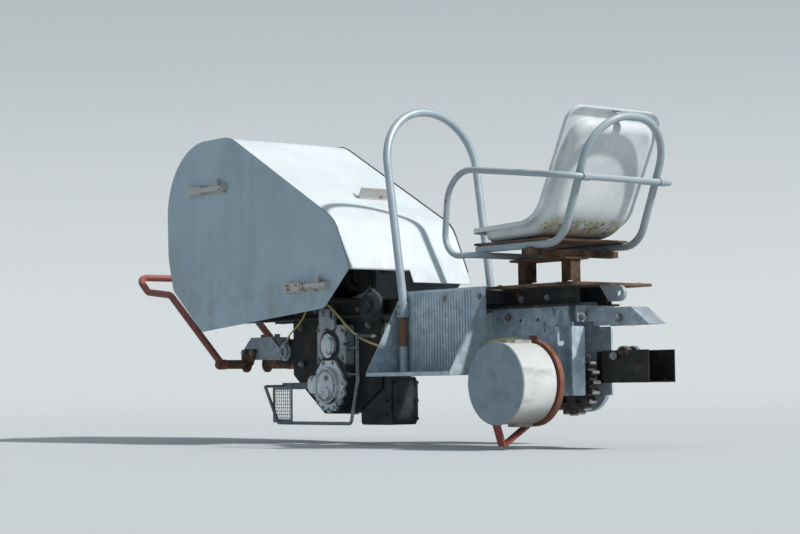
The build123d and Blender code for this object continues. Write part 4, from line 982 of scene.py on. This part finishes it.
hood_corners = [
    (-1.153, 0.065, 0.008),
    (-1.348, 0.226, 0.060),
    (-1.382, 0.350, 0.250),
    (-1.393, 0.775, 0.265),
    (-0.963, 0.775, 0.160),
    (-0.328, 0.427, 0.130),
    (-0.246, 0.255, 0.010),
    (-0.390, 0.125, 0.040),
]
hood_middle = Vector((-0.85, 0.43))
seal_inset = 0.0025
seals = []
for side in (-1, 1):
    seal = []
    for point in rounded_outline(hood_corners):
        lowest = 0.236 if point.x < -1.0 else 0.262
        if point.y > lowest:
            inward = point + (hood_middle - point).normalized() * seal_inset
            seal.append((inward.x, side * 0.2618, inward.y))
    seals.append(seal)
bead("hood_seals", seals, 0.0016, "dark_steel", body="hood")

# %% [markdown]
# ## Fittings of the cables
#
# Two clips hold the control cable on the footrest's brackets, and a ferrule holds each end. The stop cable
# has a collar where it comes out of the engine's base, and a sleeve in the clamp at its lower end.

# %% Clips, ferrules and clamp
clip_stretch = 4
clips = []
for x, z in ((0.060, -0.0253), (0.250, -0.0185)):
    clip = start_ring(0.0052, 0.0011, (x, clip_y, z), BACK, 24)
    for vertex in clip.data.vertices:
        vertex.co.x = x + clip_stretch * (vertex.co.x - x)
    clips.append(clip)
settle(join(clips), "cable_clips", "galvanised")
ferrule_ends = [
    ((-0.5915, -0.123, 0.150), (-0.572, -0.123, 0.150)),
    ((0.524, -0.1746, -0.0021), (0.5528, -0.175, -0.0027)),
]
ferrules = [start_rod(0.0062, start, end, 18, 0.0055, 0.0012, 2) for start, end in ferrule_ends]
collar = start_rod(0.0075, (-0.700, -0.112, 0.157), (-0.700, -0.112, 0.150), 16, edge=0.001)
sleeve = start_rod(0.0045, (-0.857, -0.0885, 0.028), (-0.872, -0.081, 0.0198), 16, edge=0.001)
settle(join(ferrules + [collar, sleeve]), "cable_ferrules", "galvanised")
cable_clamp = start_box((-0.884, -0.088, 0.012), (-0.868, -0.070, 0.026), 0.002, 2)
settle(cable_clamp, "cable_clamp", "galvanised", "bolt_zinc")

# %% [markdown]
# ## Guard's mesh
#
# The panel of the guard is woven wire in a flat frame. One wire is bent up and down at each crossing, and its
# copies lie side by side, half a wave apart.

# %% Woven mesh in its frame
panel_low = Vector((-0.872, -0.144, -0.271))
panel_high = Vector((-0.752, -0.141, -0.141))
panel_strip = 0.012
mesh_pitch = 0.012
wire_radius = 0.0011
wire_bend = 0.0007
panel_frame = start_box(panel_low, panel_high)
pick_faces(panel_frame, NEAR, FAR)
bpy.ops.mesh.inset(thickness=panel_strip)
bpy.ops.mesh.bridge_edge_loops()
end_edit()
settle(round_edges(panel_frame, 0.0006), "guard_panel_frame", "galvanised", "guard_zinc")
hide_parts("guard_mesh")
wires = []
inside_low = panel_low + Vector((panel_strip, 0, panel_strip)) * 0.8
inside = panel_high - panel_low - Vector((panel_strip, 0, panel_strip)) * 1.6
for axis, across in ((0, 2), (2, 0)):
    count = int(inside[across] / mesh_pitch)
    margin = (inside[across] - (count - 1) * mesh_pitch) / 2
    waves = int(inside[axis] / mesh_pitch)
    step = inside[axis] / (2 * waves)
    for number in range(count):
        run = []
        for place in range(2 * waves + 1):
            bend = (0, 1, 0, -1)[place % 4] * (-1) ** number * (1 if axis else -1)
            point = [0, (panel_low.y + panel_high.y) / 2 + wire_bend * bend, 0]
            point[axis] = inside_low[axis] + step * place
            point[across] = inside_low[across] + margin + mesh_pitch * number
            run.append(tuple(point))
        wires.append(run)
bead("guard_wires", wires, wire_radius, "galvanised", "guard_zinc")

# %% [markdown]
# ## Engine
#
# Under the hood stands a small air-cooled engine with its shaft along the rail: a crankcase with a finned
# barrel, a blower housing with a recoil starter on the driver's left, a tank in front, an air cleaner, a
# silencer behind, and a gear housing that goes down to the drive. It keeps inside the CAD block's box.

# %% Crankcase, barrel and head
engine_y = 0.010
barrel_x = -0.765
settle(start_box((-0.975, -0.150, 0.157), (-0.505, 0.150, 0.167), 0.002), "engine_base", "frame_steel")
crankcase = start_box((-0.875, -0.085, 0.167), (-0.655, 0.095, 0.322), 0.018, 3)
push_faces(crankcase, FAR, (0.010, 0.006), (0.012, 0.010))
push_faces(crankcase, BACK, (0.014, 0.010))
settle(crankcase, "engine_crankcase", "cast_alloy")
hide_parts("engine_block")
feet_places = [(x, y) for x in (-0.870, -0.700) for y in (-0.108, 0.088)]
feet = [start_box((x, y, 0.160), (x + 0.040, y + 0.030, 0.178)) for x, y in feet_places]
settle(round_edges(join(feet), 0.003, 2), "engine_feet", "cast_alloy")

fin_low = 0.326
fin_pitch = 0.0098
barrel = start_rod(0.050, (barrel_x, engine_y, 0.318), (barrel_x, engine_y, 0.418), 32, edge=0.002)
# The fins' edges are rounded wider than a fin is thick, so neighbours run into each other.
fin = start_box((-0.840, engine_y - 0.070, 0), (-0.690, engine_y + 0.070, 0.0028), 0.022, 4)
fins = copies_at(fin, [Matrix.Translation((0, 0, fin_low + fin_pitch * number)) for number in range(10)])
bpy.data.objects.remove(fin)
settle(join([barrel] + fins), "engine_barrel", "cast_alloy")
head = start_box((-0.835, engine_y - 0.064, 0.420), (-0.695, engine_y + 0.064, 0.438), 0.006, 2)
push_faces(head, UP, (0.020, 0.014), (0.010, -0.003))
settle(head, "engine_head", "cast_alloy")
plug_foot = start_rod(0.0075, (-0.697, engine_y, 0.430), (-0.684, engine_y, 0.433), 6)
plug_neck = start_rod(0.0045, (-0.684, engine_y, 0.433), (-0.668, engine_y, 0.4365), 14)
settle(join([plug_foot, plug_neck]), "spark_plug", "galvanised", "seat_plastic")
plug_cap = start_rod(0.009, (-0.674, engine_y, 0.435), (-0.644, engine_y, 0.4415), 16, 0.0075, 0.002, 2)
settle(plug_cap, "spark_plug_cap", "dark_steel")

# %% Blower housing and recoil starter
blower_y, blower_z = -0.140, 0.290
slat_count = 16
blower_ends = [(barrel_x, y, blower_z) for y in (-0.085, blower_y)]
blower = start_rod(0.118, *blower_ends, 48, edge=0.012, segments=3)
push_faces(blower, NEAR, (0.030, 0.004))
settle(blower, "engine_blower", "case_grey")
starter = start_rod(0.078, (barrel_x, -0.142, blower_z), (barrel_x, -0.152, blower_z), 40, 0.070)
push_faces(starter, NEAR, (0.012, -0.003), (0.030, 0.006))
settle(starter, "starter_cup", "dark_steel")
slat = start_box((0.050, -0.1555, -0.0022), (0.068, -0.1480, 0.0022), 0.0006)
to_blower = Matrix.Translation((barrel_x, 0, blower_z))
turns = [Matrix.Rotation(2 * pi * number / slat_count, 4, "Y") for number in range(slat_count)]
settle(join(copies_at(slat, [to_blower @ turn for turn in turns])), "starter_slats", "galvanised")
bpy.data.objects.remove(slat)
settle(start_box((-0.850, -0.120, 0.300), (-0.680, -0.055, 0.432), 0.014, 3), "engine_shroud", "case_grey")
grip = start_rod(0.006, (-0.680, -0.148, 0.372), (-0.632, -0.148, 0.372), 14, edge=0.002, segments=2)
settle(grip, "starter_grip", "dark_steel")

# %% Tank, air cleaner and their holders
tank = start_box((-0.965, -0.130, 0.335), (-0.860, 0.130, 0.480), 0.030, 4)
pick_faces(tank, UP)
bpy.ops.mesh.inset(thickness=0.006)  # keeps the top's shading flat
end_edit()
tank_seam = start_box((-0.969, -0.134, 0.404), (-0.856, 0.134, 0.408), 0.0010)
settle(join([tank, tank_seam]), "fuel_tank", "case_grey", "tank_paint")
tank_cap = start_rod(0.026, (-0.915, 0.060, 0.478), (-0.915, 0.060, 0.4945), 28, 0.024)
push_faces(tank_cap, UP, (0.005, -0.002))
settle(tank_cap, "tank_cap", "dark_steel")
holders = []
for y in (-0.095, 0.085):
    for x in (-0.955, -0.880):
        holders.append(start_box((x, y, 0.166), (x + 0.006, y + 0.020, 0.345)))
    holders.append(start_box((-0.955, y, 0.328), (-0.874, y + 0.020, 0.336)))
settle(round_edges(join(holders), 0.001), "tank_holders", "frame_steel")
cleaner = start_box((-0.815, 0.098, 0.335), (-0.690, 0.156, 0.440), 0.016, 3)
push_faces(cleaner, FAR, (0.012, -0.004))
settle(cleaner, "air_cleaner", "dark_steel")
air_neck = start_rod(0.018, (-0.752, 0.104, 0.385), (-0.752, 0.072, 0.385), 20, edge=0.002)
settle(air_neck, "air_neck", "cast_alloy")

# %% Silencer with its bands, pipes and guard
silencer_x, silencer_z = -0.570, 0.385
silencer_ends = [(silencer_x, y, silencer_z) for y in (-0.105, 0.115)]
silencer = start_rod(0.048, *silencer_ends, 36, edge=0.010, segments=3)
for way in (NEAR, FAR):
    push_faces(silencer, way, (0.010, -0.003))
band_places = [(silencer_x, y, silencer_z) for y in (-0.075, -0.025, 0.035, 0.085)]
bands = [start_ring(0.048, 0.0026, place, FAR, 36) for place in band_places]
settle(join([silencer] + bands), "silencer", "rusty_steel")
pipe_in = [(-0.700, 0.030, 0.400), (-0.668, 0.030, 0.402), (-0.640, 0.030, 0.396), (-0.610, 0.030, 0.390)]
pipe_out = [
    (silencer_x, 0.095, 0.345),
    (silencer_x, 0.098, 0.320),
    (-0.565, 0.104, 0.298),
    (-0.552, 0.112, 0.280),
    (-0.528, 0.118, 0.268),
]
bead("exhaust_pipes", [pipe_in, pipe_out], 0.0125, "rusty_steel")
bar_starts = [-0.100 + 0.026 * number for number in range(9)]
guard = [start_box((-0.632, y, 0.440), (-0.512, y + 0.010, 0.4425)) for y in bar_starts]
guard += [start_box((x, -0.104, 0.4420), (x + 0.010, 0.122, 0.4445)) for x in (-0.634, -0.516)]
settle(round_edges(join(guard), 0.0006), "silencer_guard", "galvanised", "guard_zinc")
stays = [start_box((-0.600, y, 0.166), (-0.594, y + 0.020, 0.442)) for y in (-0.104, 0.102)]
settle(round_edges(join(stays), 0.001), "silencer_stays", "frame_steel")

# %% Gear housing behind the crankcase, and the block that the control cable leaves
flange_end, flange_z = -0.636, 0.256
gear_housing = start_rod(0.080, (-0.648, 0, 0.248), (-0.540, 0, 0.248), 40, 0.062, 0.006, 2)
push_faces(gear_housing, BACK, (0.020, 0.012))
flange = start_rod(0.090, (-0.650, 0, flange_z), (flange_end, 0, flange_z), 40, edge=0.002)
settle(join([gear_housing, flange]), "engine_gears", "dark_steel")
settle(start_box((-0.612, -0.133, 0.140), (-0.592, -0.113, 0.158), 0.003, 2), "cable_exit", "dark_steel")

# %% Fasteners of the engine
housing_places = [((flange_end, y, z), BACK) for y, z in on_circle((0, flange_z), 0.083, 6)]
fasten("housing_bolts", head_model, 0.0055, housing_places)
blower_places = near_face(on_circle((barrel_x, blower_z), 0.098, 6, 20), blower_y)
fasten("blower_screws", head_model, 0.0045, blower_places)
head_places = [((x, engine_y + y, 0.438), UP) for x in (-0.826, -0.704) for y in (-0.054, 0.054)]
fasten("head_bolts", head_model, 0.006, head_places)
fasten("cleaner_nut", nut_model, 0.0065, [((-0.752, 0.152, 0.388), FAR)])
for model in (head_model, nut_model, dome_model):
    bpy.data.objects.remove(model)
